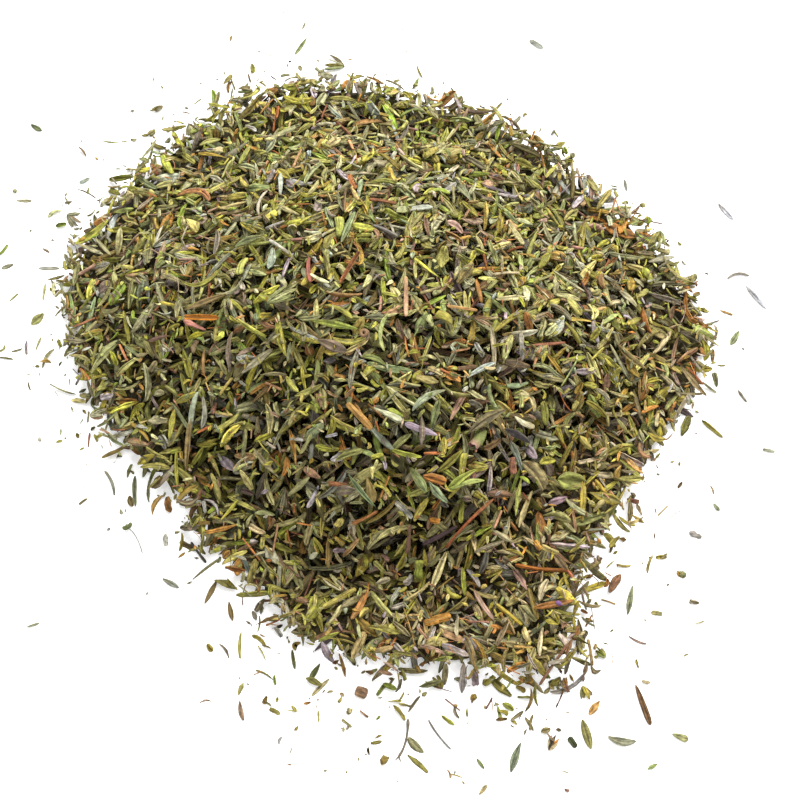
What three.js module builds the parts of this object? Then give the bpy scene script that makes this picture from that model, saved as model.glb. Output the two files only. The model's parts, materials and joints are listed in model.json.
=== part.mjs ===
// A heap of rubbed dried thyme on a flat surface, with the single leaves, flower bits and
// stalk pieces that stand out on it or lie loose round it. Millimetres, +Z up. The origin is
// in the middle of the heap's flat underside, and the front of the heap faces -Y.
import * as THREE from "three";

// Driving dimensions of the heap.
const SUMMIT_X = 1;
const SUMMIT_Y = -3;
const DOME_HEIGHT = 26; // above the leaves spread round its foot
const SPREAD_HEIGHT = 3; // the spread, at the middle of the heap
const RIM_HEIGHT = 1.4; // two or three leaves lying on each other at the edge
const TOP_ROUNDING = 0.45; // 0 is a sharp cone, larger is rounder
const FOOT_SOFTNESS = 0.05; // how gently the flank runs out, as a share of the height
const DOME_SHARE = 0.96; // how far out the dome's foot is, as a share of the way to the edge
const FRONT_DRAW_IN = 0.18; // the foot is that much nearer in front, behind the spill
const FRONT_ANGLE = THREE.MathUtils.degToRad(-75);
const FRONT_WIDTH = THREE.MathUtils.degToRad(38);
const LUMP_HEIGHT = 0.9;
const LUMP_X = 8.5; // a lump's size over two pi, along X and Y
const LUMP_Y = 7;
const RIM_STEPS = 60;
const RINGS = 21;

// The edge of the heap on the ground, anticlockwise from the right: nearly round at the back
// and drawn out to a spill in front.
const EDGE = [
  [59.5, 3], [53, 19], [42, 31], [31, 41], [22, 48], [8, 52.5], [-9, 55.5],
  [-28, 51], [-40, 41.5], [-51, 29], [-57.5, 17], [-57, 4], [-52, -9],
  [-43, -21], [-34, -28], [-30, -36], [-21, -44], [-12, -53], [4, -56.5],
  [18, -57], [30.5, -58], [32.5, -48], [35.5, -40], [41, -31.5], [48, -19], [56, -9.5],
];

// What lies on the heap keeps this distance above its surface, and no piece is thinner than
// a dried leaf.
const CLEARANCE = 0.4;
const LEAF_THICKNESS = 0.55;

// Dry colours of the plant.
const COLOURS = {
  green: 0x7f8a52,
  sage: 0xa3ab7e,
  yellow_green: 0x9ca13c,
  olive: 0x5c5f38,
  brown: 0x6b5339,
  mauve: 0x85705f,
  orange: 0xb9773a,
  tan: 0xb48f5c,
  straw: 0xc0ab63,
  red_brown: 0x7d4a31,
  purple: 0x4b3a43,
  lilac: 0xb5a0c0,
};

// Pieces that stand out on the heap. at is the middle, turn the direction of the length in
// degrees from +X, bow the bend sideways in the middle, and kind the outline, a leaf's or a
// stalk's where it isn't given.
const LEAVES_ON_THE_HEAP = [
  { name: "bright_leaf", at: [-7.8, -6], long: 8.8, wide: 1.5, turn: -14, colour: "yellow_green" },
  { name: "mauve_leaf", at: [-8, -9.4], long: 5.6, wide: 1.9, turn: -25, colour: "mauve" },
  { name: "flower_head", kind: "head", at: [-2.5, -8.1], long: 1.6, wide: 1.7, turn: 0, colour: "brown" },
  { name: "lilac_petal", at: [7, -22.7], long: 5.9, wide: 1.3, turn: -18, colour: "lilac" },
  { name: "pink_calyx", kind: "cup", at: [16.8, -23.4], long: 4.6, wide: 1.7, turn: 233, colour: "sage" },
  { name: "rust_leaf", at: [9.4, -29.8], long: 4.2, wide: 1.5, turn: -14, colour: "orange" },
  { name: "pair_leaf_upper", at: [14, -29.6], long: 5.9, wide: 1, turn: 32, colour: "yellow_green" },
  { name: "pair_leaf_lower", at: [14.9, -30.4], long: 6.6, wide: 1, turn: 17, colour: "green" },
  { name: "oval_leaf", at: [33.9, -26.4], long: 5.1, wide: 2.4, turn: 4, colour: "sage" },
  { name: "orange_leaf_front", at: [10.1, -50.6], long: 5, wide: 1.4, turn: 15, colour: "orange" },
  { name: "long_brown_leaf", at: [-34.1, -20.1], long: 8.6, wide: 1.6, turn: 81, colour: "brown" },
  { name: "orange_leaf_left", at: [-31.3, -0.4], long: 6.4, wide: 1, turn: -17, colour: "orange" },
  { name: "brown_leaf_left", at: [-30.6, 2.3], long: 8.2, wide: 1.5, turn: 6, colour: "brown" },
  { name: "curled_leaf", at: [-31.5, 8.6], long: 8.6, wide: 1, turn: 6, bow: 3, colour: "olive" },
  { name: "brown_curl", at: [-34.9, 27.1], long: 7.6, wide: 1.1, turn: -27, bow: -2, colour: "red_brown" },
  { name: "sprig_tip", at: [-15.9, 0], long: 7, wide: 3.6, turn: 15, colour: "green" },
];

const STALKS_ON_THE_HEAP = [
  { name: "tan_stalk", at: [4.5, -1.3], long: 7.4, wide: 0.8, turn: -90, colour: "tan" },
  { name: "ochre_stalk", at: [14, -2.7], long: 5.4, wide: 0.6, turn: -2, colour: "orange" },
  { name: "orange_stalk", at: [-3.4, -20.7], long: 6.7, wide: 1, turn: -44, colour: "orange" },
  { name: "red_stalk", at: [15.6, -35.6], long: 11.2, wide: 0.8, turn: 42, colour: "red_brown" },
  { name: "purple_stalk", at: [10.4, -37.7], long: 6.7, wide: 0.8, turn: 23, colour: "purple" },
  { name: "rust_stalk", at: [28.3, -41.8], long: 9.8, wide: 0.9, turn: 0, colour: "red_brown" },
  { name: "straw_stalk", at: [22.4, -49.9], long: 5.9, wide: 0.8, turn: -38, colour: "straw" },
  { name: "pale_stalk", at: [-7, -47.1], long: 6.8, wide: 1, turn: 28, colour: "straw" },
];

// Pieces lying loose on the ground, from the front round to the right, back and left.
const STRAY_LEAVES = [
  { name: "stray_needle_brown", at: [45.4, -65], long: 7.6, wide: 1.3, turn: -72, colour: "brown" },
  { name: "stray_oval_pale", at: [51.5, -70.5], long: 3, wide: 1.3, turn: -21, colour: "sage" },
  { name: "stray_leaf_curved", at: [41.5, -70.8], long: 5, wide: 1.3, turn: -10, bow: 0.5, colour: "sage" },
  { name: "stray_leaf_oval", at: [35.5, -70], long: 5.4, wide: 1.8, turn: -75, colour: "green" },
  { name: "stray_chip_dark", at: [33, -71.4], long: 2.2, wide: 1, turn: -56, colour: "olive" },
  { name: "stray_leaf_front", at: [23.3, -73.9], long: 5.6, wide: 1.2, turn: 70, bow: -0.2, colour: "green" },
  { name: "stray_leaf_small", at: [17.2, -75], long: 2.4, wide: 0.9, turn: -55, colour: "green" },
  { name: "stray_leaf_right", at: [46.5, -75.5], long: 2, wide: 1, turn: 28, colour: "green" },
  { name: "stray_cup", kind: "cup", at: [0.8, -74.5], long: 2, wide: 1.7, turn: 60, colour: "brown" },
  { name: "stray_leaf_orange", at: [37, -65.5], long: 3.2, wide: 1.5, turn: 51, colour: "orange" },
  { name: "stray_leaf_tall", at: [44, -46.5], long: 5.6, wide: 1.2, turn: 78, colour: "green" },
  { name: "stray_leaf_bottom", at: [-11.3, -59.4], long: 4, wide: 1.2, turn: 60, colour: "green" },
  { name: "stray_chip_brown", at: [-3.2, -62.9], long: 2.3, wide: 1.9, turn: -20, colour: "brown" },
  { name: "stray_leaf_low_left", at: [-15, -57.1], long: 3.6, wide: 1, turn: -80, colour: "sage" },
  { name: "stray_leaf_lean", at: [-29.8, -45], long: 5, wide: 1.2, turn: 64, colour: "brown" },
  { name: "stray_leaf_upright", at: [-26.2, -48.5], long: 3.8, wide: 1.2, turn: -77, colour: "olive" },
  { name: "stray_leaf_pale_left", at: [-37, -43.5], long: 3.6, wide: 1, turn: -29, colour: "sage" },
  { name: "flower_stalk", kind: "headed", at: [-43.8, -35.5], long: 6.4, wide: 1.7, turn: -59,
    colour: "olive" },
  { name: "stray_leaf_left", at: [-44.1, -26.5], long: 6, wide: 1.1, turn: -86, bow: 0.2, colour: "olive" },
  { name: "stray_chip_left", at: [-48.5, -33.6], long: 1.4, wide: 0.8, turn: 28, colour: "olive" },
  { name: "stray_needle_far_left", at: [-60.7, -51], long: 2.6, wide: 0.7, turn: 18, colour: "sage" },
  { name: "stray_leaf_right_front", at: [60.3, -29.5], long: 1.8, wide: 0.9, turn: -54, colour: "sage" },
  { name: "stray_chip_right", at: [70.4, -18.8], long: 2.3, wide: 0.8, turn: -13, colour: "green" },
  { name: "stray_needle_right", at: [70.2, 11.4], long: 6, wide: 0.8, turn: -54, colour: "sage" },
  { name: "stray_needle_back_right", at: [65.7, 29.2], long: 4.6, wide: 0.8, turn: -52, colour: "sage" },
  { name: "stray_leaf_rim_right", at: [65.7, 3.2], long: 3.4, wide: 1.5, turn: 58, colour: "green" },
  { name: "stray_leaf_back", at: [30.5, 66], long: 3.4, wide: 1.5, turn: -36, colour: "sage" },
  { name: "stray_leaf_back_left", at: [-16.1, 65.6], long: 4.6, wide: 1.2, turn: 59, colour: "green" },
  { name: "stray_leaf_far_left", at: [-67.2, 47.3], long: 2.8, wide: 1.2, turn: -33, colour: "green" },
  { name: "stray_leaf_left_back", at: [-57.1, 35.8], long: 2.4, wide: 1, turn: 29, colour: "green" },
  { name: "stray_chip_far_left", at: [-64.1, 7], long: 3.2, wide: 1.7, turn: 47, colour: "olive" },
];

const STRAY_STALKS = [
  { name: "stray_stalk_thin", at: [10.3, -70], long: 6.6, wide: 0.45, turn: -53, bow: 0.3, colour: "olive" },
  { name: "stray_stalk_bent", at: [4, -71], long: 7.4, wide: 0.45, turn: 76, bow: -0.6, colour: "olive" },
  { name: "stray_stalk_left", at: [-48.9, -25], long: 5.2, wide: 0.6, turn: -66, bow: -0.5, colour: "olive" },
  { name: "stray_stalk_right", at: [67.2, 15.4], long: 4.4, wide: 0.6, turn: 7, bow: -0.9, colour: "brown" },
];

// The edge as a closed smooth curve, cut into steps.
function edgeLoop() {
  const corners = EDGE.map(([x, y]) => new THREE.Vector3(x, y, 0));
  const curve = new THREE.CatmullRomCurve3(corners, true, "centripetal");
  const loop = curve.getSpacedPoints(RIM_STEPS);
  loop.pop(); // the last point repeats the first
  return loop;
}

const RIM = edgeLoop();

// How far out a point is: 0 at the summit, 1 on the edge.
function shareOut(x, y) {
  const dx = x - SUMMIT_X;
  const dy = y - SUMMIT_Y;
  for (let i = 0; i < RIM.length; i += 1) {
    const ax = RIM[i].x - SUMMIT_X;
    const ay = RIM[i].y - SUMMIT_Y;
    const bx = RIM[(i + 1) % RIM.length].x - SUMMIT_X;
    const by = RIM[(i + 1) % RIM.length].y - SUMMIT_Y;
    const whole = ax * by - ay * bx;
    const alongA = (dx * by - dy * bx) / whole;
    const alongB = (ax * dy - ay * dx) / whole;
    if (alongA >= 0 && alongB >= 0) return alongA + alongB;
  }
  return 0;
}

// A rounded cone: 1 in the middle, straight flanks, and a soft foot at 1 that runs out to 0.
function domeShape(out) {
  const tip = Math.hypot(1, TOP_ROUNDING);
  const cone = (tip - Math.hypot(out, TOP_ROUNDING)) / (tip - TOP_ROUNDING);
  return FOOT_SOFTNESS * Math.log(1 + Math.exp(cone / FOOT_SOFTNESS));
}

// Height of the heap at a point: the rim's thickness, the spread, the dome and soft lumps.
function heapHeight(x, y) {
  const out = Math.min(1, shareOut(x, y));
  const offFront = Math.atan2(y - SUMMIT_Y, x - SUMMIT_X) - FRONT_ANGLE;
  const turned = Math.atan2(Math.sin(offFront), Math.cos(offFront));
  const foot = DOME_SHARE - FRONT_DRAW_IN * Math.exp(-((turned / FRONT_WIDTH) ** 2));
  const dome = domeShape(out / foot);
  const inside = 1 - out ** 2;
  const lumps = Math.sin(x / LUMP_X + 1) * Math.sin(y / LUMP_Y - 0.5);
  return RIM_HEIGHT + SPREAD_HEIGHT * inside + DOME_HEIGHT * dome + LUMP_HEIGHT * lumps * inside;
}

// The heap is one closed body: rings of points from the summit to the edge, the low wall of
// the edge, and the flat underside.
function heapGeometry() {
  const points = [SUMMIT_X, SUMMIT_Y, heapHeight(SUMMIT_X, SUMMIT_Y)];
  for (let ring = 1; ring <= RINGS; ring += 1) {
    for (const edge of RIM) {
      const share = ring / RINGS;
      const x = SUMMIT_X + (edge.x - SUMMIT_X) * share;
      const y = SUMMIT_Y + (edge.y - SUMMIT_Y) * share;
      points.push(x, y, heapHeight(x, y));
    }
  }
  for (const edge of RIM) points.push(edge.x, edge.y, 0);
  points.push(SUMMIT_X, SUMMIT_Y, 0);
  const at = (ring, step) => 1 + (ring - 1) * RIM_STEPS + (step % RIM_STEPS);
  const underside = 1 + (RINGS + 1) * RIM_STEPS;
  const faces = [];
  for (let step = 0; step < RIM_STEPS; step += 1) {
    faces.push(0, at(1, step), at(1, step + 1));
    for (let ring = 1; ring <= RINGS; ring += 1) {
      faces.push(at(ring, step), at(ring + 1, step), at(ring + 1, step + 1));
      faces.push(at(ring, step), at(ring + 1, step + 1), at(ring, step + 1));
    }
    faces.push(underside, at(RINGS + 1, step + 1), at(RINGS + 1, step));
  }
  const geometry = new THREE.BufferGeometry();
  geometry.setAttribute("position", new THREE.Float32BufferAttribute(points, 3));
  geometry.setIndex(faces);
  geometry.computeVertexNormals();
  return geometry;
}

// Outlines of the small pieces: half the width at places along the length, each running
// from -1 to 1, where 1 is the full half width or half length.
const OUTLINES = {
  leaf: [[0, -1], [0.5, -0.72], [1, -0.1], [0.86, 0.4], [0.4, 0.82], [0, 1]],
  stalk: [
    [0, -1], [0.9, -1], [0.96, -0.7], [1, -0.4], [0.92, -0.05], [0.85, 0.3], [0.9, 0.65], [0.95, 1],
    [0, 1],
  ],
  cup: [[0, -1], [0.45, -0.9], [0.8, -0.3], [1, 0.4], [0.85, 1], [0, 1]],
  head: [[0, -1], [0.7, -0.8], [1, -0.1], [0.9, 0.5], [0.5, 0.9], [0, 1]],
  headed: [[0, -1], [0.8, -0.95], [1, -0.5], [0.3, -0.2], [0.3, 1], [0, 1]],
};
const SIDES = 6;

// A small piece: its outline turned round its length, pressed flat if it is a leaf, bowed
// sideways, and laid on the ground or over the heap so that it follows the slope.
function pieceGeometry(piece, usualKind, ground) {
  const { kind = usualKind, at, long, wide, turn, bow = 0 } = piece;
  const outline = OUTLINES[kind].map(
    ([half, along]) => new THREE.Vector2((half * wide) / 2, (along * long) / 2),
  );
  const geometry = new THREE.LatheGeometry(outline, SIDES, Math.PI / SIDES);
  const thick = kind === "leaf" ? LEAF_THICKNESS : wide;
  const angle = THREE.MathUtils.degToRad(turn);
  const position = geometry.getAttribute("position");
  for (let i = 0; i < position.count; i += 1) {
    const along = position.getY(i);
    const across = position.getX(i) + bow * (1 - (2 * along / long) ** 2);
    const up = (position.getZ(i) / wide + 0.5) * thick;
    const x = at[0] + along * Math.cos(angle) + across * Math.sin(angle);
    const y = at[1] + along * Math.sin(angle) - across * Math.cos(angle);
    position.setXYZ(i, x, y, ground(x, y) + up);
  }
  geometry.computeVertexNormals();
  return geometry;
}

function dryMaterial(colour) {
  return new THREE.MeshStandardMaterial({
    color: COLOURS[colour],
    roughness: 0.8,
    metalness: 0,
    side: THREE.FrontSide,
  });
}

// Height of the finished heap straight under a point, read off its faces.
function heightOn(heap) {
  const down = new THREE.Vector3(0, 0, -1);
  const ray = new THREE.Raycaster();
  return (x, y) => {
    ray.set(new THREE.Vector3(x, y, 2 * DOME_HEIGHT), down);
    return ray.intersectObject(heap)[0].point.z;
  };
}

function addPieces(group, pieces, usualKind, ground) {
  for (const piece of pieces) {
    const geometry = pieceGeometry(piece, usualKind, ground);
    const mesh = new THREE.Mesh(geometry, dryMaterial(piece.colour));
    mesh.name = piece.name;
    group.add(mesh);
  }
}

const thyme = new THREE.Group();

const heap = new THREE.Mesh(heapGeometry(), dryMaterial("green"));
heap.name = "thyme_heap";
thyme.add(heap);

const heapTop = heightOn(heap);
const overHeap = (x, y) => heapTop(x, y) + CLEARANCE;
addPieces(thyme, LEAVES_ON_THE_HEAP, "leaf", overHeap);
addPieces(thyme, STALKS_ON_THE_HEAP, "stalk", overHeap);

const onTheGround = () => 0;
addPieces(thyme, STRAY_LEAVES, "leaf", onTheGround);
addPieces(thyme, STRAY_STALKS, "stalk", onTheGround);

export default thyme;
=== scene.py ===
# %% [markdown]
# # A heap of rubbed dried thyme
# The object is a heap of loose leaves, stalk ends and flower bits. Nothing holds it together
# but weight and friction. A painted mound would show no gaps and no leaf edges, so this lesson
# drops every leaf onto the heap below it, from the ground up, and then gives each one its own
# rolled, furrowed shape and its own tint.

# %% Load the frame
import json
import math

import bpy
import numpy as np
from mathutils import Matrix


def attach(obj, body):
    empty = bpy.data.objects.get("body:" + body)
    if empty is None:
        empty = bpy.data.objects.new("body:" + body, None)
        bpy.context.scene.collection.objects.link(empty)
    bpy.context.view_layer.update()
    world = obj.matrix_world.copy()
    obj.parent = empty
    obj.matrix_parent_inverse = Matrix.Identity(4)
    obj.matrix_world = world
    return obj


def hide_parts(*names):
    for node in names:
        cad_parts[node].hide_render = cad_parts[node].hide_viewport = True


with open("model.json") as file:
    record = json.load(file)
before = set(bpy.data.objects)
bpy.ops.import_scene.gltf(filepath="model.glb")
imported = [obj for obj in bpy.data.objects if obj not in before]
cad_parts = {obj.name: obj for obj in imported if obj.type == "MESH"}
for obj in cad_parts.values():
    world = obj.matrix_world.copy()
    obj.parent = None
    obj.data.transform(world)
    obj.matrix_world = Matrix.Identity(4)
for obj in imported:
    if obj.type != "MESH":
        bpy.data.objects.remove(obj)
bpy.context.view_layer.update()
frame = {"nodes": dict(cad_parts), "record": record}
MM = 0.001

# %% [markdown]
# ## The camera
# The picture was taken from high in front of the heap. A long lens from a third of a metre
# keeps the far edge nearly as large as the near one. The camera comes first, because every
# later choice is compared with the photograph through it.

# %% Set up the camera
AIM_MM = (3.5, -9.0, 0.0)
ELEVATION_DEG = 70.0
DISTANCE_MM = 318.0
FIELD_OF_VIEW_DEG = 26.0
SENSOR_MM = 36.0

lens = bpy.data.cameras.new("camera")
lens.sensor_width = SENSOR_MM
lens.lens = SENSOR_MM / 2 / math.tan(math.radians(FIELD_OF_VIEW_DEG / 2))
lens.clip_start = 0.01
camera = bpy.data.objects.new("camera", lens)
elevation = math.radians(ELEVATION_DEG)
camera.location = (
    AIM_MM[0] * MM,
    (AIM_MM[1] - DISTANCE_MM * math.cos(elevation)) * MM,
    (AIM_MM[2] + DISTANCE_MM * math.sin(elevation)) * MM,
)
camera.rotation_euler = (math.pi / 2 - elevation, 0, 0)
bpy.context.scene.collection.objects.link(camera)
bpy.context.scene.camera = camera
bpy.context.scene.view_settings.view_transform = "Standard"
print("camera: lens", round(lens.lens, 1), "mm")

# %% [markdown]
# ## Colours and nodes
# Colours are written as sRGB hex values, as a colour picker shows them, and one function turns
# them to the linear light that shaders add and multiply. One helper adds a node with its
# settings and links, so that a material reads as a short list.

# %% Helpers for colours and nodes


def linear(colour):
    """sRGB hex to linear red, green, blue: each channel over 0.04045 is raised to 2.4."""
    channels = np.array([int(colour[i : i + 2], 16) / 255 for i in (1, 3, 5)])
    low = channels / 12.92
    high = ((channels + 0.055) / 1.055) ** 2.4
    return np.where(channels <= 0.04045, low, high)


def linear_rows(colours):
    """One row of linear red, green and blue for each hex value."""
    return np.array([linear(colour) for colour in colours])


def rgba(colour):
    """The same as linear, with an alpha of 1, as a node's colour input wants it."""
    return (*linear(colour), 1.0)


def add_node(tree, kind, settings=None, inputs=None):
    """Adds a node. An input that is another node's output is linked, any other is set."""
    node = tree.nodes.new(kind)
    for name, value in (settings or {}).items():
        setattr(node, name, value)
    for name, value in (inputs or {}).items():
        if isinstance(value, bpy.types.NodeSocket):
            tree.links.new(value, node.inputs[name])
        else:
            node.inputs[name].default_value = value
    return node


print("colours: #808080 is", linear("#808080")[0].round(3), "in linear light")

# %% [markdown]
# ## The space that the heap fills
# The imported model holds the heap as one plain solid. Its top is read into a height map, a grid
# of quarter-millimetre squares that each hold one height. Leaves are then dropped until they
# reach that height everywhere, so the finished heap has the same outline and size.

# %% Read the heap's top into a height map
STEP = 0.25
GRID_LOW = np.array([-82.0, -86.0])
GRID_CELLS = (656, 640)
TRIANGLE_STEPS = 26
TINY = 0.0001


def cells_of(x, y):
    """The grid squares that points in millimetres fall in: (place - low corner) / step, rounded
    down and kept inside the grid."""
    i = ((x - GRID_LOW[0]) / STEP).astype(int)
    j = ((y - GRID_LOW[1]) / STEP).astype(int)
    return np.clip(i, 0, GRID_CELLS[0] - 1), np.clip(j, 0, GRID_CELLS[1] - 1)


def cells_under(points):
    """The grid squares under points whose last axis starts with x and y."""
    return cells_of(points[..., 0], points[..., 1])


def mesh_points(mesh):
    """All vertices of a mesh, in millimetres."""
    points = np.empty(len(mesh.vertices) * 3, np.float32)
    mesh.vertices.foreach_get("co", points)
    return points.reshape(-1, 3).astype(float) / MM


def height_map(mesh):
    """The top of a mesh. A point of a triangle is a + u (b - a) + v (c - a), with u and v on an
    even lattice, and each square keeps the highest point that falls in it."""
    mesh.calc_loop_triangles()
    corners = np.empty(len(mesh.loop_triangles) * 3, np.int32)
    mesh.loop_triangles.foreach_get("vertices", corners)
    a, b, c = np.moveaxis(mesh_points(mesh)[corners.reshape(-1, 3)], 1, 0)[:, :, None]
    u, v = np.meshgrid(*[np.linspace(0, 1, TRIANGLE_STEPS)] * 2)
    inside = u + v <= 1 + TINY
    u, v = u[inside][:, None], v[inside][:, None]
    points = (a + u * (b - a) + v * (c - a)).reshape(-1, 3)
    top = np.zeros(GRID_CELLS)
    np.maximum.at(top, cells_under(points), points[:, 2])
    return top


envelope = height_map(frame["nodes"]["thyme_heap"].data)
print("heap: top", round(envelope.max(), 1), "mm, volume", round(envelope.sum() * STEP**2), "mm3")

# %% [markdown]
# ## The ground round the heap
# No heap ends in a clean line. Leaves lie close together for a millimetre or two outside its
# edge, and crumbs farther out, most of them to the front, where it was poured, and to the left.
# One map says how far each square is from the heap, the next how high the leaves lie there,
# where less than a leaf's thickness means gaps, and the last how likely a crumb is.

# %% Map the fringe
FRINGE_REACH = 22.0  # mm
FRINGE_HEIGHT = 1.9  # mm, at the heap's edge
BARE_BELOW = 0.15  # mm
CRUMB_CHANCE = 0.9  # at the heap's edge
SUMMIT = (1.0, -3.0)


def grow(inside, corners=False):
    """A footprint grown by one square over its sides, or over its corners as well."""
    grown = inside.copy()
    grown[1:] |= inside[:-1]
    grown[:-1] |= inside[1:]
    wide = grown if corners else inside
    grown[:, 1:] |= wide[:, :-1]
    grown[:, :-1] |= wide[:, 1:]
    return grown


def distance_outside(inside):
    """How far each square outside is from the heap: it grows by one square a time, in turns
    with and without the corners, which makes the rings nearly round."""
    distance = np.where(inside, 0.0, np.inf)
    for step in range(1, round(FRINGE_REACH / STEP) + 1):
        grown = grow(inside, corners=step % 2 == 1)
        distance[grown & ~inside] = step * STEP
        inside = grown
    return distance


def facing(direction, spread):
    """A bell curve of the angle between each square, seen from the summit, and a direction, both
    in degrees: 1 along it, and e to the minus 1 at the spread."""
    x = GRID_LOW[0] + STEP * (np.arange(GRID_CELLS[0])[:, None] + 0.5) - SUMMIT[0]
    y = GRID_LOW[1] + STEP * (np.arange(GRID_CELLS[1])[None] + 0.5) - SUMMIT[1]
    away = (np.degrees(np.arctan2(y, x)) - direction + 180) % 360 - 180
    return np.exp(-((away / spread) ** 2))


outside = distance_outside(envelope > 0)
fringe_width = 1.5 + 0.9 * facing(-75, 30) + 0.4 * facing(-130, 25) + 0.3 * facing(180, 25)
fringe_width += 0.3 * facing(143, 15) - 0.7 * facing(75, 40)
full_width = -0.8 + 1.6 * facing(-65, 15) + 0.9 * facing(-125, 15) + 0.5 * facing(135, 18)
full_width -= 1.0 * facing(175, 15) + 1.0 * facing(-101, 8) + 0.5 * facing(95, 15)
past = np.maximum(outside - full_width, 0) / fringe_width
fringe = FRINGE_HEIGHT * np.exp(-(past**1.3)) - BARE_BELOW
scatter_reach = 2.0 + 8.0 * facing(-88, 27) + 2.4 * facing(-170, 50) + 2.2 * facing(118, 25)
scatter_reach += 3.0 * facing(-42, 16)
scatter = CRUMB_CHANCE * np.exp(-outside / scatter_reach)
scatter[[0, -1]] = 0
scatter[:, [0, -1]] = 0
print("fringe: volume", round(fringe[(outside > 0) & (fringe > 0)].sum() * STEP**2), "mm3")

# %% [markdown]
# ## Room for the single pieces
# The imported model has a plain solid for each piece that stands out. The heap stays a little
# lower where they will lie, and no crumb falls on the strays round it.

# %% Map the single pieces
ROOM_ROUND = 3  # squares
PIECE_ROOM = 1.0  # mm
STRAY_ROOM = 8  # squares


def room(steps):
    """The single pieces' footprint grown by a number of squares."""
    inside = single
    for _ in range(steps):
        inside = grow(inside)
    return inside


single_nodes = [node for name, node in frame["nodes"].items() if name != "thyme_heap"]
single = np.max([height_map(node.data) for node in single_nodes], axis=0) > 0
scatter[room(STRAY_ROOM)] = 0
under_piece = PIECE_ROOM * room(ROOM_ROUND)
fringe -= under_piece
print("single pieces:", len(single_nodes), "on", round(single.sum() * STEP**2), "mm2")

# %% [markdown]
# ## What lies in the heap
# Rubbed thyme is mostly narrow leaves with rolled margins, 3 to 8 mm long, with broader ones,
# broken ends, bits of stalk, dry flower cups and sprig ends, whose young leaves still share a
# foot. Each kind is one row: its share of the heap, its usual length and width, and how blunt
# its two ends are. The sizes of single leaves spread round the usual ones as living things do,
# so their logarithm is drawn from a bell curve.

# %% The kinds of pieces and their sizes
rng = np.random.default_rng(1746)
KINDS = {
    # kind: share, length mm, width mm, base starts wide at, tip narrows from, thickness mm
    "needle": (0.30, 5.1, 1.02, 0.25, 0.32, 0.50),
    "broad": (0.17, 4.8, 1.48, 0.36, 0.42, 0.46),
    "broken": (0.17, 2.8, 1.10, 0.04, 0.28, 0.50),
    "stalk": (0.08, 3.8, 0.46, 0.03, 0.03, 0.46),
    "fibre": (0.05, 3.6, 0.22, 0.03, 0.03, 0.22),
    "cup": (0.03, 1.8, 0.95, 0.50, 0.05, 0.80),
    "chip": (0.13, 1.3, 0.80, 0.25, 0.30, 0.40),
    "sprig end": (0.07, 5.0, 1.90, 0.25, 0.35, 0.80),
}
KIND_NAMES = list(KINDS)
KIND_NUMBERS = np.array(list(KINDS.values()))
LENGTH_SPREAD = 0.25
WIDTH_SPREAD = 0.18
LONGEST = 8.8
WIDEST = 0.62  # of the length
ON_EDGE_SHARE = 0.14  # of the leaves, which lie on their edge
CURLED_SHARE = 0.15
CURL = 2.6  # times the usual bends
STALK_BEND, FIBRE_BEND = 0.35, 2.2  # times a leaf's


def is_kind(leaves, *names):
    """Which of the leaves are of one of the named kinds."""
    return np.isin(leaves["kind"], [KIND_NAMES.index(name) for name in names])


def draw_pieces(count, shares=KIND_NUMBERS[:, 0]):
    """Draws the kind, size and bends of a number of pieces, as a dictionary of arrays. A size is
    the usual one times e to a draw from a bell curve, and a bend is a share of the length."""
    leaves = {"kind": rng.choice(len(KIND_NAMES), count, p=np.divide(shares, np.sum(shares)))}
    usual = KIND_NUMBERS[leaves["kind"]]
    bend = np.where(is_kind(leaves, "stalk"), STALK_BEND, 1.0)
    bend[is_kind(leaves, "fibre")] = FIBRE_BEND
    on_edge = (rng.random(count) < ON_EDGE_SHARE) & ~is_kind(leaves, "stalk", "fibre")
    length = np.minimum(usual[:, 1] * np.exp(rng.normal(0, LENGTH_SPREAD, count)), LONGEST)
    width = usual[:, 2] * np.exp(rng.normal(0, WIDTH_SPREAD, count))
    width = np.minimum(width, WIDEST * length)
    curl = np.where(rng.random(count) < CURLED_SHARE, CURL, 1)
    leaves.update(
        length=length,
        width=width,
        thick=usual[:, 5] * width / usual[:, 2] * rng.uniform(0.75, 1.2, count),
        wide_from=usual[:, 3] * rng.uniform(0.75, 1.25, count),
        narrow_from=usual[:, 4] * rng.uniform(0.75, 1.25, count),
        blunt=rng.uniform(0.28, 0.55, count),
        arch=length * rng.normal(0, 0.042, count) * bend * curl,
        bow=length * rng.normal(0, 0.050, count) * bend * curl,
        twist=rng.normal(0, 0.5, count) * bend,
        roll=np.where(on_edge, rng.choice([-1, 1], count) * 1.2, rng.normal(0, 0.3, count)),
        yaw=rng.uniform(0, 2 * math.pi, count),
    )
    return leaves


print("kinds:", ", ".join(KIND_NAMES))

# %% [markdown]
# ## Dropping the leaves
# A physics engine is slow with twenty thousand thin leaves, and a leaf that lands on a heap
# does something simple: it comes to rest on one high point on either side of its middle. So a
# leaf is treated as a thin slat. For each of many tilts, it is lifted until it clears
# the height map all along, and the tilt at which its middle lies lowest is the resting one.
# Whole lots of leaves are worked out at once. They stand one to a square of a coarse lattice,
# so that no two of a lot can touch.

# %% The resting rule
ALONG = np.linspace(-1, 1, 13)
LANES = np.array([-0.6, 0.0, 0.6])
TILTS = np.tan(np.radians(np.linspace(-50, 50, 51)))
FINE_ALONG = np.linspace(-1, 1, 35)
FINE_LANES = np.linspace(-1, 1, 5)
NESTING = 0.20  # mm that real leaves give and sink into each other
LEVEL_PULL = 0.30  # mm of lift that a leaf prefers to a slope of one
ROLL_FOLLOWS = 0.6  # of the ground's slope across the leaf
TAPER = 0.45  # of the height, lost from the middle to the ends


def turned(a, b, angle):
    """Turns a pair of coordinates: a cos - b sin and a sin + b cos."""
    cos, sin = np.cos(angle), np.sin(angle)
    return a * cos - b * sin, a * sin + b * cos


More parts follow.
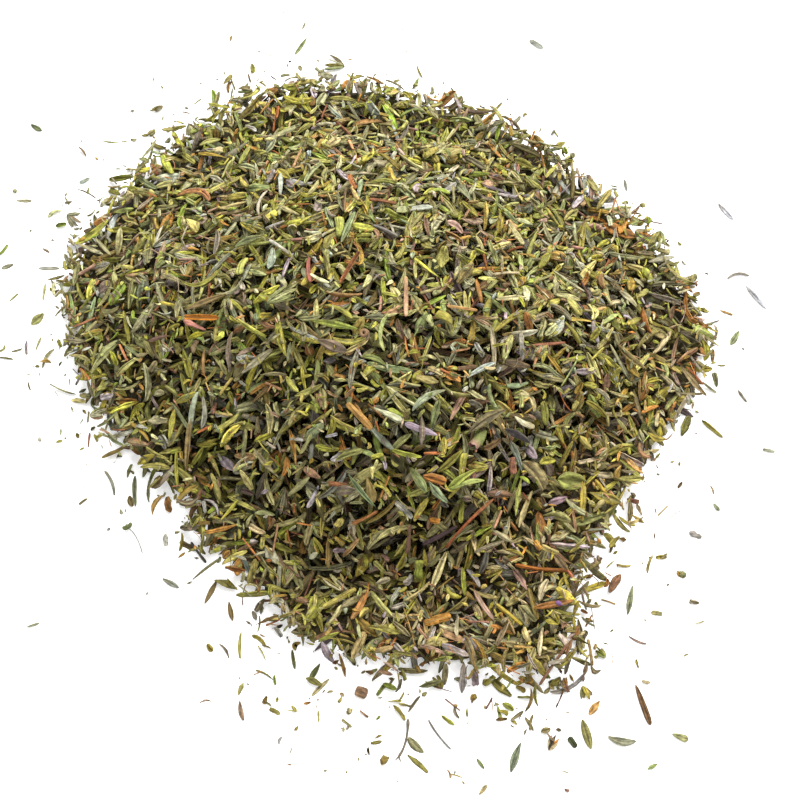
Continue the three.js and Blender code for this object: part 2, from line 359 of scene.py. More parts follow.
def spots(lot, along, lanes, shorten):
    """Points under the leaves: middle + along x half length + lane x half width + bow."""
    s = along * (lot["length"] / 2 * shorten)[:, None]
    across = lanes * (lot["span"] / 2)[:, None]
    across = across[:, None, :] + (lot["bow"][:, None] * (1 - along**2))[:, :, None]
    s = np.broadcast_to(s[:, :, None], across.shape)
    east, north = turned(s, across, lot["yaw"][:, None, None])
    return s[:, :, 0], lot["x"][:, None, None] + east, lot["y"][:, None, None] + north


def settle(ground, lot):
    """Lays a lot of leaves on the height map. The lift at a tilt is the largest of
    ground - tilt x place - arch over the places along the leaf."""
    turned, flat = np.abs(np.sin(lot["roll"])), np.abs(np.cos(lot["roll"]))
    lot["tall"] = lot["thick"] * flat + lot["width"] * turned
    lot["span"] = lot["width"] * flat + lot["thick"] * turned
    shorten = np.ones(len(lot["x"]))
    rows = np.arange(len(lot["x"]))
    for _ in range(2):
        s, x, y = spots(lot, ALONG, LANES, shorten)
        under = ground[cells_of(x, y)]
        need = under.max(2) - lot["arch"][:, None] * (1 - ALONG**2)
        lift = (need[:, None, :] - TILTS[:, None] * s[:, None, :]).max(2)
        best = (lift + LEVEL_PULL * np.abs(TILTS)).argmin(1)
        tilt = TILTS[best]
        shorten = 1 / np.sqrt(1 + tilt**2)
    between_lanes = (LANES[2] - LANES[0]) * lot["span"] / 2
    cross = (under[:, :, 2] - under[:, :, 0]).mean(1) / between_lanes
    lot["z"] = np.maximum(lift[rows, best] - NESTING, 0)
    lot["pitch"] = np.arctan(tilt)
    lot["roll"] = lot["roll"] + ROLL_FOLLOWS * np.arctan(np.clip(cross, -1, 1))
    return lot


def land(ground, lot):
    """Settles a lot and raises the height map to its tops."""
    settle(ground, lot)
    np.maximum.at(ground, *tops(lot))
    return lot


def tops(lot):
    """The grid squares under the leaves and the height of the leaves' tops over each: the lift +
    slope x place + arch (1 - place^2) + height (1 - taper place^2)."""
    s, x, y = spots(lot, FINE_ALONG, FINE_LANES, np.cos(lot["pitch"]))
    top = lot["z"][:, None] + np.tan(lot["pitch"])[:, None] * s
    top = top + lot["arch"][:, None] * (1 - FINE_ALONG**2)
    top = top + lot["tall"][:, None] * (1 - TAPER * FINE_ALONG**2)
    return cells_of(x, y), np.broadcast_to(top[:, :, None], x.shape)


print("resting rule:", len(TILTS), "tilts at", len(ALONG), "places along each leaf")

# %% [markdown]
# ## Filling the heap
# The heap grows as a poured one does: it keeps its shape while it rises. Each round aims at a
# fraction of the final height map. Within a square the leaf lands at the lowest of a few random
# spots, as if it had slid there, and a spot's height is the mean over a small disc, so that one
# narrow gap doesn't draw leaf after leaf.

# %% Fill the heap from the ground up
SQUARE = 9.0  # mm, more than the longest leaf
TRIES = 6
ROUNDS = 40
LOTS_PER_ROUND = 60
TOPPING_LOTS = 260
SURFACE_ROOM = 3.5  # mm that leaf tops stand above the lowest spots
RIM_HEIGHT = 2.2  # mm, enough for four layers
DISC_MM = 1.3
DISC = DISC_MM * np.array([(0, 0), (1, 0), (-1, 0), (0, 1), (0, -1), (0.7, 0.7), (-0.7, 0.7),
                           (0.7, -0.7), (-0.7, -0.7)])
BIT_SPREAD, LARGEST_BIT = 0.4, 1.25  # of the factor that makes a small bit small


def squares():
    """Every second square of a lattice in both directions, moved by a random corner."""
    corner = GRID_LOW + rng.uniform(-SQUARE, SQUARE, 2)
    count = math.ceil(GRID_CELLS[0] * STEP / SQUARE / 2) + 1
    x, y = (corner[axis] + np.arange(count) * 2 * SQUARE for axis in (0, 1))
    return np.stack(np.meshgrid(x, y), -1).reshape(-1, 2)


def shrink(lot, factor):
    """Multiplies sizes and bends by one factor, so that a smaller leaf keeps its shape."""
    for key in ("length", "width", "thick", "arch", "bow"):
        lot[key] = lot[key] * factor


def drop(ground, at, shares=KIND_NUMBERS[:, 0], small=1.0):
    """Draws a leaf for each place, settles it and raises the height map to its top. Small makes
    them smaller, each by its own factor."""
    lot = draw_pieces(len(at), shares)
    if small < 1:
        factor = np.exp(rng.normal(0, BIT_SPREAD, len(at)))
        shrink(lot, small * np.minimum(factor, LARGEST_BIT))
    lot["x"], lot["y"] = at.T
    return land(ground, lot)


def drop_where_low(ground, target, shares=KIND_NUMBERS[:, 0]):
    """Drops one lot of leaves where the heap is still too low: at the try in each square where
    target - the mean height over the disc is largest, if that is over 0."""
    low = squares()
    tries = low[:, None] + rng.uniform(0, SQUARE, (len(low), TRIES, 2))
    here = tries[:, :, None] + DISC
    missing = target[cells_under(tries)]
    missing = missing - ground[cells_under(here)].mean(2)
    best = missing.argmax(1)
    rows = np.arange(len(low))
    return drop(ground, tries[rows, best][missing[rows, best] > 0], shares)


ground = np.zeros(GRID_CELLS)
lots = []
full = np.where(envelope > 0, np.maximum(envelope - SURFACE_ROOM, RIM_HEIGHT) - under_piece, 0)
for fill_round in range(1, ROUNDS + 1):
    target = full * fill_round / ROUNDS
    for _ in range(LOTS_PER_ROUND):
        lots.append(drop_where_low(ground, target))
        if len(lots[-1]["x"]) < 2:
            break
lots += [drop_where_low(ground, full) for _ in range(TOPPING_LOTS)]
missing = (full - ground)[envelope > RIM_HEIGHT]
print("heap:", sum(len(lot["x"]) for lot in lots), "pieces in", len(lots), "lots, height left",
      np.percentile(missing, [2, 10, 50, 90, 98]).round(2))

# %% [markdown]
# ## The fringe
# Leaves that rolled down the flank lie round the edge, up to the height of the fringe map, and
# small bits that jumped farther are dropped by chance.

# %% Scatter the fringe
FRINGE_LOTS = 300
SCATTER_LOTS = 200
SCATTER_SIZE = 0.55  # times the usual


def drop_by_chance(ground, chance, shares, small):
    """Drops a lot on random spots, where each leaf is kept with the chance mapped there."""
    at = squares()
    at = at + rng.uniform(0, SQUARE, at.shape)
    taken = rng.random(len(at)) < chance[cells_under(at)]
    return drop(ground, at[taken], shares, small)


fringe_shares = KIND_NUMBERS[:, 0] * [0.8, 0.8, 1.2, 1, 1, 1, 2.2, 1]
scatter_shares = KIND_NUMBERS[:, 0] * [1, 0.6, 1.5, 0.7, 1, 1, 3, 0.5]
outer = np.where(envelope > 0, full, fringe)
beyond = np.where(envelope > 0, 0, scatter)
fringe_lots = [drop_where_low(ground, outer, fringe_shares) for _ in range(FRINGE_LOTS)]
for _ in range(SCATTER_LOTS):
    fringe_lots.append(drop_by_chance(ground, beyond, scatter_shares, SCATTER_SIZE))
lots += fringe_lots
print("fringe:", sum(len(lot["x"]) for lot in fringe_lots), "pieces")

# %% [markdown]
# ## Crumbs
# Rubbing also makes crumbs, one or two millimetres long, that sift down into the gaps between
# the top leaves. Each lands at the lowest of several spots near each other.

# %% Sift the crumbs in
SIFTED_MM = 160  # side of the square that crumbs fall on
CRUMB_SQUARE = 2.4  # mm
CRUMB_LOTS = 8
CRUMB_LENGTH = 1.4
CRUMB_SPREAD = 0.3
CRUMB_TRIES = 7
crumb_shares = np.array([0.30, 0, 0.25, 0.08, 0.12, 0, 0.25, 0])


def sift(ground):
    """One lot of crumbs, one to every second square of a fine lattice over the heap."""
    corner = GRID_LOW + rng.uniform(0, 2 * CRUMB_SQUARE, 2)
    lines = np.arange(0, SIFTED_MM, 2 * CRUMB_SQUARE)
    low = np.stack(np.meshgrid(lines, lines), -1).reshape(-1, 2)
    tries = (corner + low)[:, None] + rng.uniform(0, CRUMB_SQUARE, (len(low), CRUMB_TRIES, 2))
    under = ground[cells_under(tries)]
    at = tries[np.arange(len(low)), under.argmin(1)]
    at = at[envelope[cells_under(at)] > 0]
    lot = draw_pieces(len(at), crumb_shares)
    length = CRUMB_LENGTH * np.exp(rng.normal(0, CRUMB_SPREAD, len(at)))
    width = np.minimum(lot["width"] * 0.55, 0.7 * length)
    shrink(lot, length / lot["length"])
    lot["width"], lot["thick"] = width, 0.5 * width
    lot["x"], lot["y"] = at.T
    return land(ground, lot)


crumb_lots = [sift(ground) for _ in range(CRUMB_LOTS)]
lots += crumb_lots
print("crumbs:", sum(len(lot["x"]) for lot in crumb_lots))

# %% [markdown]
# ## Sprig ends
# A sprig end was dropped as one slat. Now it gets its four narrow leaves, which share its foot
# and spread from it like fingers.

# %% Join the lots and open the sprig ends
SPRIG_LEAVES = 4
SPRIG_LEAF_WIDTH = 0.78  # mm
LEAF_THICKNESS = 0.52  # of the width


def pick(leaves, mask):
    """The leaves that a mask chooses."""
    return {key: value[mask] for key, value in leaves.items()}


def open_sprigs(sprigs, each=SPRIG_LEAVES, low=0.20, high=0.50):
    """The leaves of sprig ends. Each one's yaw is the sprig's plus its share of the spread, and
    its middle lies half its length from the sprig's foot."""
    blades = {key: np.repeat(value, each) for key, value in sprigs.items()}
    count = len(blades["x"])
    spread = np.repeat(rng.uniform(low, high, count // each), each)
    share = np.tile(np.linspace(-1, 1, each), count // each)
    half = blades["length"] / 2 * np.cos(blades["pitch"])
    foot_x = blades["x"] - np.cos(blades["yaw"]) * half
    foot_y = blades["y"] - np.sin(blades["yaw"]) * half
    scale = rng.uniform(0.68, 1.0, count) * (1 - 0.15 * np.abs(share))
    blades["yaw"] = blades["yaw"] + share * spread + rng.normal(0, 0.07, count)
    blades["x"] = foot_x + np.cos(blades["yaw"]) * half * scale
    blades["y"] = foot_y + np.sin(blades["yaw"]) * half * scale
    blades["z"] = blades["z"] + rng.uniform(0, 0.45, count)
    blades["length"] = blades["length"] * scale
    blades["width"] = SPRIG_LEAF_WIDTH * rng.uniform(0.75, 1.2, count)
    blades["thick"] = blades["tall"] = LEAF_THICKNESS * blades["width"]
    blades["span"] = blades["width"]
    blades["bow"] = 0.04 * blades["length"] * share
    blades["roll"] = rng.normal(0, 0.4, count)
    blades["kind"] = np.full(count, KIND_NAMES.index("needle"))
    return blades


heap = {key: np.concatenate([lot[key] for lot in lots]) for key in lots[0]}
sprigs = is_kind(heap, "sprig end")
opened = open_sprigs(pick(heap, sprigs))
opened["sprig"] = np.repeat(np.arange(sprigs.sum()), SPRIG_LEAVES)
heap = pick(heap, ~sprigs)
heap["sprig"] = np.full(len(heap["x"]), -1)
heap = {key: np.concatenate([values, opened[key]]) for key, values in heap.items()}
print("sprig ends:", sprigs.sum(), "with", SPRIG_LEAVES, "leaves each")

# %% [markdown]
# ## The shape of a leaf
# A dried leaf is a long blade whose margins roll under. Face up it shows two rounded lobes with
# a sharp furrow between them, back up a trough between two rolled margins, and some leaves are
# folded along the middle. Each is a section with seven corners: a tucked corner, an edge and a
# lobe on the left, the furrow, and the same on the right. The section is carried along the leaf
# and scaled by the blade's outline, which is what a loft does.

# %% Sections and outline of a leaf
SEVENTHS = np.radians(90 - 360 / 7 * np.arange(-3, 4))
SECTIONS = {
    # across and up at the seven corners, in half widths and half thicknesses
    "face up": ([-0.72, -1.0, -0.52, 0, 0.52, 1.0, 0.72],
                [-0.9, -0.2, 0.9, 0.15, 0.9, -0.2, -0.9]),
    "back up": ([-0.70, -1.0, -0.72, 0, 0.72, 1.0, 0.70],
                [-0.9, 0.1, 1.0, 0.0, 1.0, 0.1, -0.9]),
    "folded": ([-0.25, -0.95, -0.8, 0, 0.8, 0.95, 0.25],
               [-1.0, 0.9, 1.25, -0.3, 1.25, 0.9, -1.0]),
    "flat": ([-0.9, -1.0, -0.5, 0, 0.5, 1.0, 0.9],
             [-0.5, 0.2, 0.7, 0.6, 0.5, 0.1, -0.5]),
    "round": (np.cos(SEVENTHS), np.sin(SEVENTHS)),
}
SECTION_TABLE = np.array([np.array(rows, float) for rows in SECTIONS.values()])
LEAF_SECTION_SHARES = [0.38, 0.28, 0.14, 0.10, 0.10]
FURROW = 3
WAVER, FURROW_WAVER = 0.11, 0.2  # in half widths and half thicknesses
FOOT_BLUNT = 0.52
VEIN_ACROSS = np.array([-0.9, -1, -0.5, 0, 0.5, 1, 0.9])
PLACES = np.array([0.02, 0.14, 0.34, 0.58, 0.80, 0.95])


def section_corners(leaves):
    """Across and up of every leaf's corners: the table's, moved by draws from a bell curve."""
    count = len(leaves["x"])
    chosen = rng.choice(len(SECTIONS), count, p=LEAF_SECTION_SHARES)
    chosen[is_kind(leaves, "stalk", "fibre", "cup")] = list(SECTIONS).index("round")
    chosen = leaves.get("section", chosen)
    corners = SECTION_TABLE[chosen] + rng.normal(0, WAVER, (count, 2, 7))
    corners[:, 1, FURROW] += rng.normal(0, FURROW_WAVER, count)
    return corners[:, 0], corners[:, 1]


def blade(leaves, places):
    """Half width along the leaf, from 0 to 1: it rises as a root from the base, falls as a root
    to the tip, and wavers a little."""
    rise = np.minimum(1, places / leaves["wide_from"][:, None]) ** FOOT_BLUNT
    fall = np.minimum(1, (1 - places) / leaves["narrow_from"][:, None]) ** leaves["blunt"][:, None]
    return rise * fall * (1 + WAVER * rng.normal(size=rise.shape))


print("sections:", ", ".join(SECTIONS))

# %% [markdown]
# ## Bending and placing a leaf
# The straight blade is twisted, bowed sideways and arched, all as parabolas of the place along
# it, and then turned by its roll, pitch and yaw to where the resting rule put it.

# %% Points of many leaves at once
FLOOR_GAP = 0.02  # mm


def leaf_points(leaves, rings, corners):
    """Places of every leaf's vertices: first tip, the chosen rings with the chosen corners, last
    tip."""
    count = len(leaves["x"])
    places = PLACES[rings]
    across, up = (values[:, None, corners] for values in section_corners(leaves))
    half = blade(leaves, PLACES)[:, rings, None]
    column = {key: value[:, None, None] for key, value in leaves.items()}
    spin = column["twist"] * (2 * places - 1)[:, None]
    a = across * half * column["width"] / 2
    h = up * np.sqrt(half) * column["thick"] / 2
    a, h = turned(a, h, spin)
    s = np.broadcast_to((places - 0.5)[:, None] * column["length"], a.shape)
    ring_points = np.stack([s, a, h], -1).reshape(count, -1, 3)
    tip = np.array([1.0, 0, 0]) * column["length"] / 2
    s, a, h = np.moveaxis(np.concatenate([-tip, ring_points, tip], 1), 2, 0)
    return place_points(leaves, s, a, h)


def place_points(leaves, s, a, h):
    """Bends a leaf's own coordinates and turns them into the heap's. s runs along, a across and
    h up."""
    roll, pitch, yaw = (leaves[key][:, None] for key in ("roll", "pitch", "yaw"))
    middle = 1 - (2 * s / leaves["length"][:, None]) ** 2
    a, h = turned(a, h, roll)
    a = a + leaves["bow"][:, None] * middle
    h = h + leaves["arch"][:, None] * middle
    s, h = turned(s, h, pitch)
    s, a = turned(s, a, yaw)
    z = (leaves["z"] + leaves["tall"] / 2)[:, None] + h
    x, y = leaves["x"][:, None] + s, leaves["y"][:, None] + a
    return np.stack([x, y, np.maximum(z, FLOOR_GAP)], -1)


print("points of a leaf:", 2 + len(PLACES) * len(VEIN_ACROSS))

# %% [markdown]
# ## One mesh from many leaves
# A thousand single objects would be slow to draw, so a batch of leaves shares one mesh. All
# leaves of a batch have the same faces in the same order, so one leaf's faces are worked out
# and repeated. Each leaf keeps a rectangle of the batch's UV map to itself. The edges along the
# furrow are marked sharp, which keeps the crease crisp in smooth shading.

# %% Faces of a leaf and mesh of a batch
UV_INSET = 0.04  # of a leaf's rectangle


def leaf_faces(rings, corners):
    """Corners of one leaf's faces as (vertex, along, around), along and around from 0 to 1, and
    the number of corners of each face: a fan at each tip and quads between."""
    loops, sizes = [], []
    last = 1 + rings * corners
    for k in range(corners):
        after = (k + 1) % corners
        left, right = k / corners, (k + 1) / corners
        near, far = 1 / (rings + 1), rings / (rings + 1)
        loops += [(0, 0, (left + right) / 2), (1 + k, near, left), (1 + after, near, right)]
        for ring in range(rings - 1):
            here, there = 1 + ring * corners, 1 + (ring + 1) * corners
            low, high = (ring + 1) / (rings + 1), (ring + 2) / (rings + 1)
            loops += [(here + k, low, left), (there + k, high, left)]
            loops += [(there + after, high, right), (here + after, low, right)]
        end = last - corners
        loops += [(end + k, far, left), (last, 1, (left + right) / 2), (end + after, far, right)]
        sizes += [3] + [4] * (rings - 1) + [3]
    return np.array(loops), np.array(sizes)


def batch_mesh(name, points, loops, sizes, furrow):
    """Repeats one leaf's faces over a batch's points. furrow says which of a leaf's vertices
    lie in its crease."""
    count, per_leaf = points.shape[:2]
    mesh = bpy.data.meshes.new(name)
    mesh.vertices.add(count * per_leaf)
    mesh.vertices.foreach_set("co", (points * MM).astype(np.float32).ravel())
    index = loops[:, 0].astype(int) + np.arange(count)[:, None] * per_leaf
    mesh.loops.add(index.size)
    mesh.loops.foreach_set("vertex_index", index.astype(np.int32).ravel())
    starts = np.concatenate([[0], np.cumsum(np.tile(sizes, count))[:-1]])
    mesh.polygons.add(len(starts))
    mesh.polygons.foreach_set("loop_start", starts.astype(np.int32))
    mesh.polygons.foreach_set("use_smooth", np.ones(len(starts), bool))
    mesh.update(calc_edges=True)
    ends = np.empty(len(mesh.edges) * 2, np.int32)
    mesh.edges.foreach_get("vertices", ends)
    creased = furrow[ends.reshape(-1, 2) % per_leaf].all(1)
    mesh.edges.foreach_set("use_edge_sharp", creased)
    return mesh


def add_uv_rectangles(mesh, count, loops):
    """Lays the leaves out in columns and lines: the columns are the root of half the count,
    rounded up, so there are twice as many lines."""
    columns = max(1, math.ceil(math.sqrt(count / 2)))
    lines = math.ceil(count / columns)
    leaf = np.arange(count)[:, None]
    u = leaf % columns + UV_INSET + (1 - 2 * UV_INSET) * loops[None, :, 1]
    v = leaf // columns + UV_INSET + (1 - 2 * UV_INSET) * loops[None, :, 2]
    layer = mesh.uv_layers.new(name="OFBake")
    layer.data.foreach_set("uv", np.stack([u / columns, v / lines], -1).astype(np.float32).ravel())


def furrow_of(rings, corners):
    """Which of a leaf's vertices lie in its furrow: the tips and one corner of each ring."""
    return np.concatenate([[True], np.tile(corners == FURROW, len(rings)), [True]])


one_leaf = leaf_faces(len(PLACES), len(VEIN_ACROSS))
print("leaf: one seen from near has", len(one_leaf[1]), "faces")

# %% [markdown]
# ## Tints
# Dried thyme is a mix of grey green, sage, yellow green and olive, with brown, mauve and ochre
# leaves that turned before they were picked. Each leaf draws one of these and a lightness of
# its own. Its base and tip are shifted a little, because a leaf dries from the tip. Leaves deep
# in the heap are painted darker, as shade, by their depth.

# %% Palettes
LEAF_COLOURS = {
    "#7b7648": 0.14, "#868252": 0.12, "#6d6a3a": 0.11, "#928e63": 0.08, "#7c7b33": 0.08,
    "#8b8a3c": 0.05, "#9c9873": 0.05, "#787d5a": 0.07, "#6f7a3f": 0.05, "#8a8c80": 0.03,
    "#574c2e": 0.05, "#715535": 0.04, "#7f6a58": 0.03, "#847b7c": 0.01, "#93702f": 0.03,
    "#7d6c3c": 0.06,
}
STALK_COLOURS = {
    "#9a6c38": 0.28, "#8f5a2f": 0.16, "#a08a58": 0.18, "#6e4630": 0.14, "#52392d": 0.10,
    "#7a7644": 0.14,
}
CUP_COLOURS = {"#928c62": 0.35, "#83695c": 0.20, "#9c8c84": 0.15, "#7d7740": 0.30}
TIP_COLOUR = linear("#8a7238")
TIP_DRIEST = 0.45  # share of the tip's colour
BASE_SHIFT = (-0.15, 0.25)  # darker to lighter
PATCHINESS = 0.06
# painted shade: the share of the leaves whose middle strip is darkened as shade in the furrow; the
# others get a pale midrib
FURROW_SHADE_SHARE = 0.6  # of the leaves
VEIN_GAP = 7.0  # leaf lengths between the starts of two leaves' ridges
VIVID = 1.06  # single leaves are a little stronger in colour than their mix
VIVID_SPREAD = 0.36
MOST_VIVID = 1.5
STALK_VIVID = 0.8
SHADE_SPREAD = 0.13
HUE_SPREAD = [0.06, 0.02, 0.03]  # of red, green and blue
BROWNING = np.array([0.07, -0.05, -0.02])
BRIGHT = np.array([1.31, 1.29, 1.33])  # leaves shade each other, which is made up for here


def palette(colours):
    """A palette's linear colours and their shares."""
    return linear_rows(colours), np.array(list(colours.values()))


def draw_tints(leaves):
    """One linear colour per piece from the palette of its kind: grey + vivid (colour - grey),
    times its own lightness, hue, browning and light."""
    count = len(leaves["x"])
    tints = np.empty((count, 3))
    for names, colours in (
        (("needle", "broad", "broken", "chip"), LEAF_COLOURS),
        (("stalk", "fibre"), STALK_COLOURS),
        (("cup",), CUP_COLOURS),
    ):
        mine = is_kind(leaves, *names)
        values, share = palette(colours)
        tints[mine] = values[rng.choice(len(values), mine.sum(), p=share / share.sum())]
    shared = leaves.get("sprig", np.full(count, -1))
    twins = np.nonzero((shared[1:] == shared[:-1]) & (shared[1:] >= 0))[0]
    tints[twins + 1] = tints[twins]
    grey = tints.mean(1, keepdims=True)
    vivid = np.minimum(VIVID * np.exp(rng.normal(0, VIVID_SPREAD, count)), MOST_VIVID)
    vivid[is_kind(leaves, "stalk", "fibre")] *= STALK_VIVID
    tints = grey + (tints - grey) * vivid[:, None]
    tints = np.maximum(tints, 0.2 * grey)
    tints *= np.exp(rng.normal(0, SHADE_SPREAD, (count, 1)))
    tints *= np.exp(rng.normal(0, HUE_SPREAD, (count, 3)))
    tints *= 1 + leaves["brown"][:, None] * BROWNING
    return tints * leaves["light"][:, None] * BRIGHT


def vertex_paint(leaves, rings, corners):
    """Vertex colours, and vein numbers: across from -1 to 1, along, which grows by 1 over the
    leaf from a start of its own, and how much paler than the blade the midrib is, where a number
    under 0 paints shade into the furrow instead. Tints are drawn for leaves that bring none."""
    count = len(leaves["x"])
    along = np.concatenate([[0], np.repeat(PLACES[rings], len(corners)), [1]])
    across = np.concatenate([[0], np.tile(VEIN_ACROSS[corners], len(rings)), [0]])
    tints = (leaves["tint"] if "tint" in leaves else draw_tints(leaves))[:, None, :]
    tip = rng.uniform(0, TIP_DRIEST, (count, 1, 1)) * along[None, :, None] ** 2
    base = rng.uniform(*BASE_SHIFT, (count, 1, 1)) * (1 - along[None, :, None]) ** 2
    colours = tints * (1 + base) * (1 - tip) + TIP_COLOUR * tip * tints.mean(-1, keepdims=True) * 4
    colours *= np.exp(rng.normal(0, PATCHINESS, (count, len(along), 1)))
    colours = np.concatenate([colours, np.ones((count, len(along), 1))], -1)
    # painted shade: these leaves get a dark furrow, the rest a pale midrib
    dark = rng.random(count) < FURROW_SHADE_SHARE
    pale = np.where(dark, rng.uniform(-1, -0.3, count), rng.uniform(0, 1, count))
    veins = np.empty((count, len(along), 3))
    veins[...] = np.stack([across, along, 0 * along], -1)
    veins[..., 1] += VEIN_GAP * rng.integers(0, 500, count)[:, None]
    veins[..., 2] = np.where(is_kind(leaves, "stalk", "fibre"), 0, pale)[:, None]
    return colours, veins


def add_attributes(mesh, colours, veins):
    """Stores a colour and a vein vector at every vertex, which the finishes read."""
    for name, kind, field, values in (
        ("Tint", "FLOAT_COLOR", "color", colours), ("Vein", "FLOAT_VECTOR", "vector", veins)
    ):
        attribute = mesh.attributes.new(name, kind, "POINT")
        attribute.data.foreach_set(field, values.astype(np.float32).ravel())


def painted_mesh(name, points, detail, furrow, colours, veins):
    """The mesh of a batch with its UV map and attributes. detail is the number of rings and of
    corners in a ring."""
    loops, sizes = leaf_faces(*detail)
    mesh = batch_mesh(name, points, loops, sizes, furrow)
    add_uv_rectangles(mesh, len(points), loops)
    add_attributes(mesh, colours, veins)
    return mesh


print("palettes:", [len(colours) for colours in (LEAF_COLOURS, STALK_COLOURS, CUP_COLOURS)])

# %% [markdown]
# ## The finishes of a dried plant
# Leaves, twigs and petals of thyme (Thymus vulgaris), dried and rubbed. All are matt, and all
# are drawn into fine ridges along their length as they dry. They differ in how strong those
# ridges are and in how glossy the skin is, so one function makes all three finishes. The tint
# and the place across and along a piece come from its attributes, so that the ridges, the
# midrib and the painted shade in a leaf's furrow follow it. The mottling and the grain come from
# its place in space.

# %% The parts of a finish
GRAIN_MM = 0.22  # oil glands and hairs, drawn coarser than the real 0.05 mm so that they show
MOTTLE_MM = 0.9
WRINKLE_MM = 0.5
WRINKLE_DEPTH_MM, GRAIN_DEPTH_MM = 0.25, 0.08
STREAK_MM = (0.16, 2.2)  # ridges, across and along
HALF_WIDTH_MM = 0.5
LENGTH_MM = 5.0
NOISE_MIDDLE = (0.3, 0.7)  # where nearly all of a noise's values lie
MULTIPLY = {"data_type": "RGBA", "blend_type": "MULTIPLY"}
BLEND = {"data_type": "RGBA"}
# painted shade: the first colour is the dark of the shade in a leaf's furrow; the pale midrib and
# margin are the leaf's own
FURROW_SHADE_COLOUR, PALE_RIB, PALE_MARGIN = "#2a2418", "#a39f74", "#a09b68"


def furrow_shade_midrib_and_margin(tree, base, across, pale):
    """Draws the strip along a leaf's middle, |across| below 0.06: painted shade in the furrow
    where pale is under 0, and a pale midrib where it is over 0. It also lightens the rolled
    margin,
    |across| over 0.7. Each row gives what a strip's shape and strength are read from, and the
    ranges that they are carried from and to."""
    side = add_node(tree, "ShaderNodeMath", {"operation": "ABSOLUTE"}, {0: across}).outputs[0]
    rib_and_furrow_shade = (side, 0.06, 0.26, 1.0, 0.0)
    # the first row paints shade into the furrow, the second a pale midrib, the third a pale margin
    for shape, strength, colour in (
        (rib_and_furrow_shade, (pale, -1.0, 0.0, 0.7, 0.0), FURROW_SHADE_COLOUR),
        (rib_and_furrow_shade, (pale, 0.0, 1.0, 0.0, 0.45), PALE_RIB),
        ((side, 0.70, 1.0, 0.0, 0.20), (side, 0.0, 0.1, 0.0, 1.0), PALE_MARGIN),
    ):
        factors = [
            add_node(tree, "ShaderNodeMapRange", {}, dict(enumerate(values))).outputs[0]
            for values in (shape, strength)
        ]
        product = dict(enumerate(factors))
        share = add_node(tree, "ShaderNodeMath", {"operation": "MULTIPLY"}, product)
        inputs = {0: share.outputs[0], 6: base, 7: rgba(colour)}
        base = add_node(tree, "ShaderNodeMix", BLEND, inputs).outputs[2]
    return base


def plant_finish(name, mottling, ridges, ridge_mm, dullness, gloss, rib_and_furrow_shade=True):
    """The colour is tint x ridges x mottling, where mottling and ridges are the darkest and
    lightest share. The roughness is the grain's, between the two of dullness. The bumps are
    wrinkles, ridges and grain on top of each other."""
    material = bpy.data.materials.new(name)
    material.use_nodes = True
    tree = material.node_tree
    shader = tree.nodes["Principled BSDF"]
    place = add_node(tree, "ShaderNodeTexCoord").outputs["Object"]
    tint = add_node(tree, "ShaderNodeAttribute", {"attribute_name": "Tint"}).outputs["Color"]
    vein = add_node(tree, "ShaderNodeAttribute", {"attribute_name": "Vein"}).outputs["Vector"]
    across, _, pale = add_node(tree, "ShaderNodeSeparateXYZ", {}, {0: vein}).outputs
    stretch = (HALF_WIDTH_MM / STREAK_MM[0], LENGTH_MM / STREAK_MM[1], 0.0)
    ridge_place = add_node(
        tree, "ShaderNodeVectorMath", {"operation": "MULTIPLY"}, {0: vein, 1: stretch}
    ).outputs[0]
    mottle, ridge, grain, wrinkle = (
        add_node(
            tree, "ShaderNodeTexNoise", {}, {"Vector": where, "Scale": scale, "Detail": detail}
        ).outputs["Fac"]
        for where, scale, detail in (
            (place, 1 / (MOTTLE_MM * MM), 3.0),
            (ridge_place, 1.0, 2.0),
            (place, 1 / (GRAIN_MM * MM), 2.0),
            (place, 1 / (WRINKLE_MM * MM), 1.0),
        )
    )
    lines, patches, roughness = (
        add_node(
            tree, "ShaderNodeMapRange", {}, dict(enumerate((noise, *NOISE_MIDDLE, *limits)))
        ).outputs[0]
        for noise, limits in ((ridge, ridges), (mottle, mottling), (grain, dullness))
    )
    base = tint
    for shade in (lines, patches):
        base = add_node(tree, "ShaderNodeMix", MULTIPLY, {0: 1.0, 6: base, 7: shade}).outputs[2]
    # painted shade in the furrow, with the pale midrib and margin
    if rib_and_furrow_shade:
        base = furrow_shade_midrib_and_margin(tree, base, across, pale)
    tree.links.new(base, shader.inputs["Base Color"])
    inputs = {}
    for height, strength, depth_mm in (
        (wrinkle, 0.9, WRINKLE_DEPTH_MM), (ridge, 0.8, ridge_mm), (grain, 0.7, GRAIN_DEPTH_MM)
    ):
        inputs.update({"Height": height, "Strength": strength, "Distance": depth_mm * MM})
        inputs["Normal"] = add_node(tree, "ShaderNodeBump", {}, inputs).outputs[0]
    tree.links.new(inputs["Normal"], shader.inputs["Normal"])
    tree.links.new(roughness, shader.inputs["Roughness"])
    shader.inputs["Specular IOR Level"].default_value = gloss
    print("finish:", name, "with", len(tree.nodes), "nodes")
    return material


print("patterns:", MOTTLE_MM, WRINKLE_MM, GRAIN_MM, "mm, ridges", STREAK_MM, "mm")

# %% [markdown]
# ## Leaf, twig and petal
# The leaf blade has a thin waxy skin, which gives a soft, broad highlight. A twig has lost its
# bark in places and shows strong dark lines along the wood, and it has no midrib. A petal is a
# thin dry film: pale, even and matt.

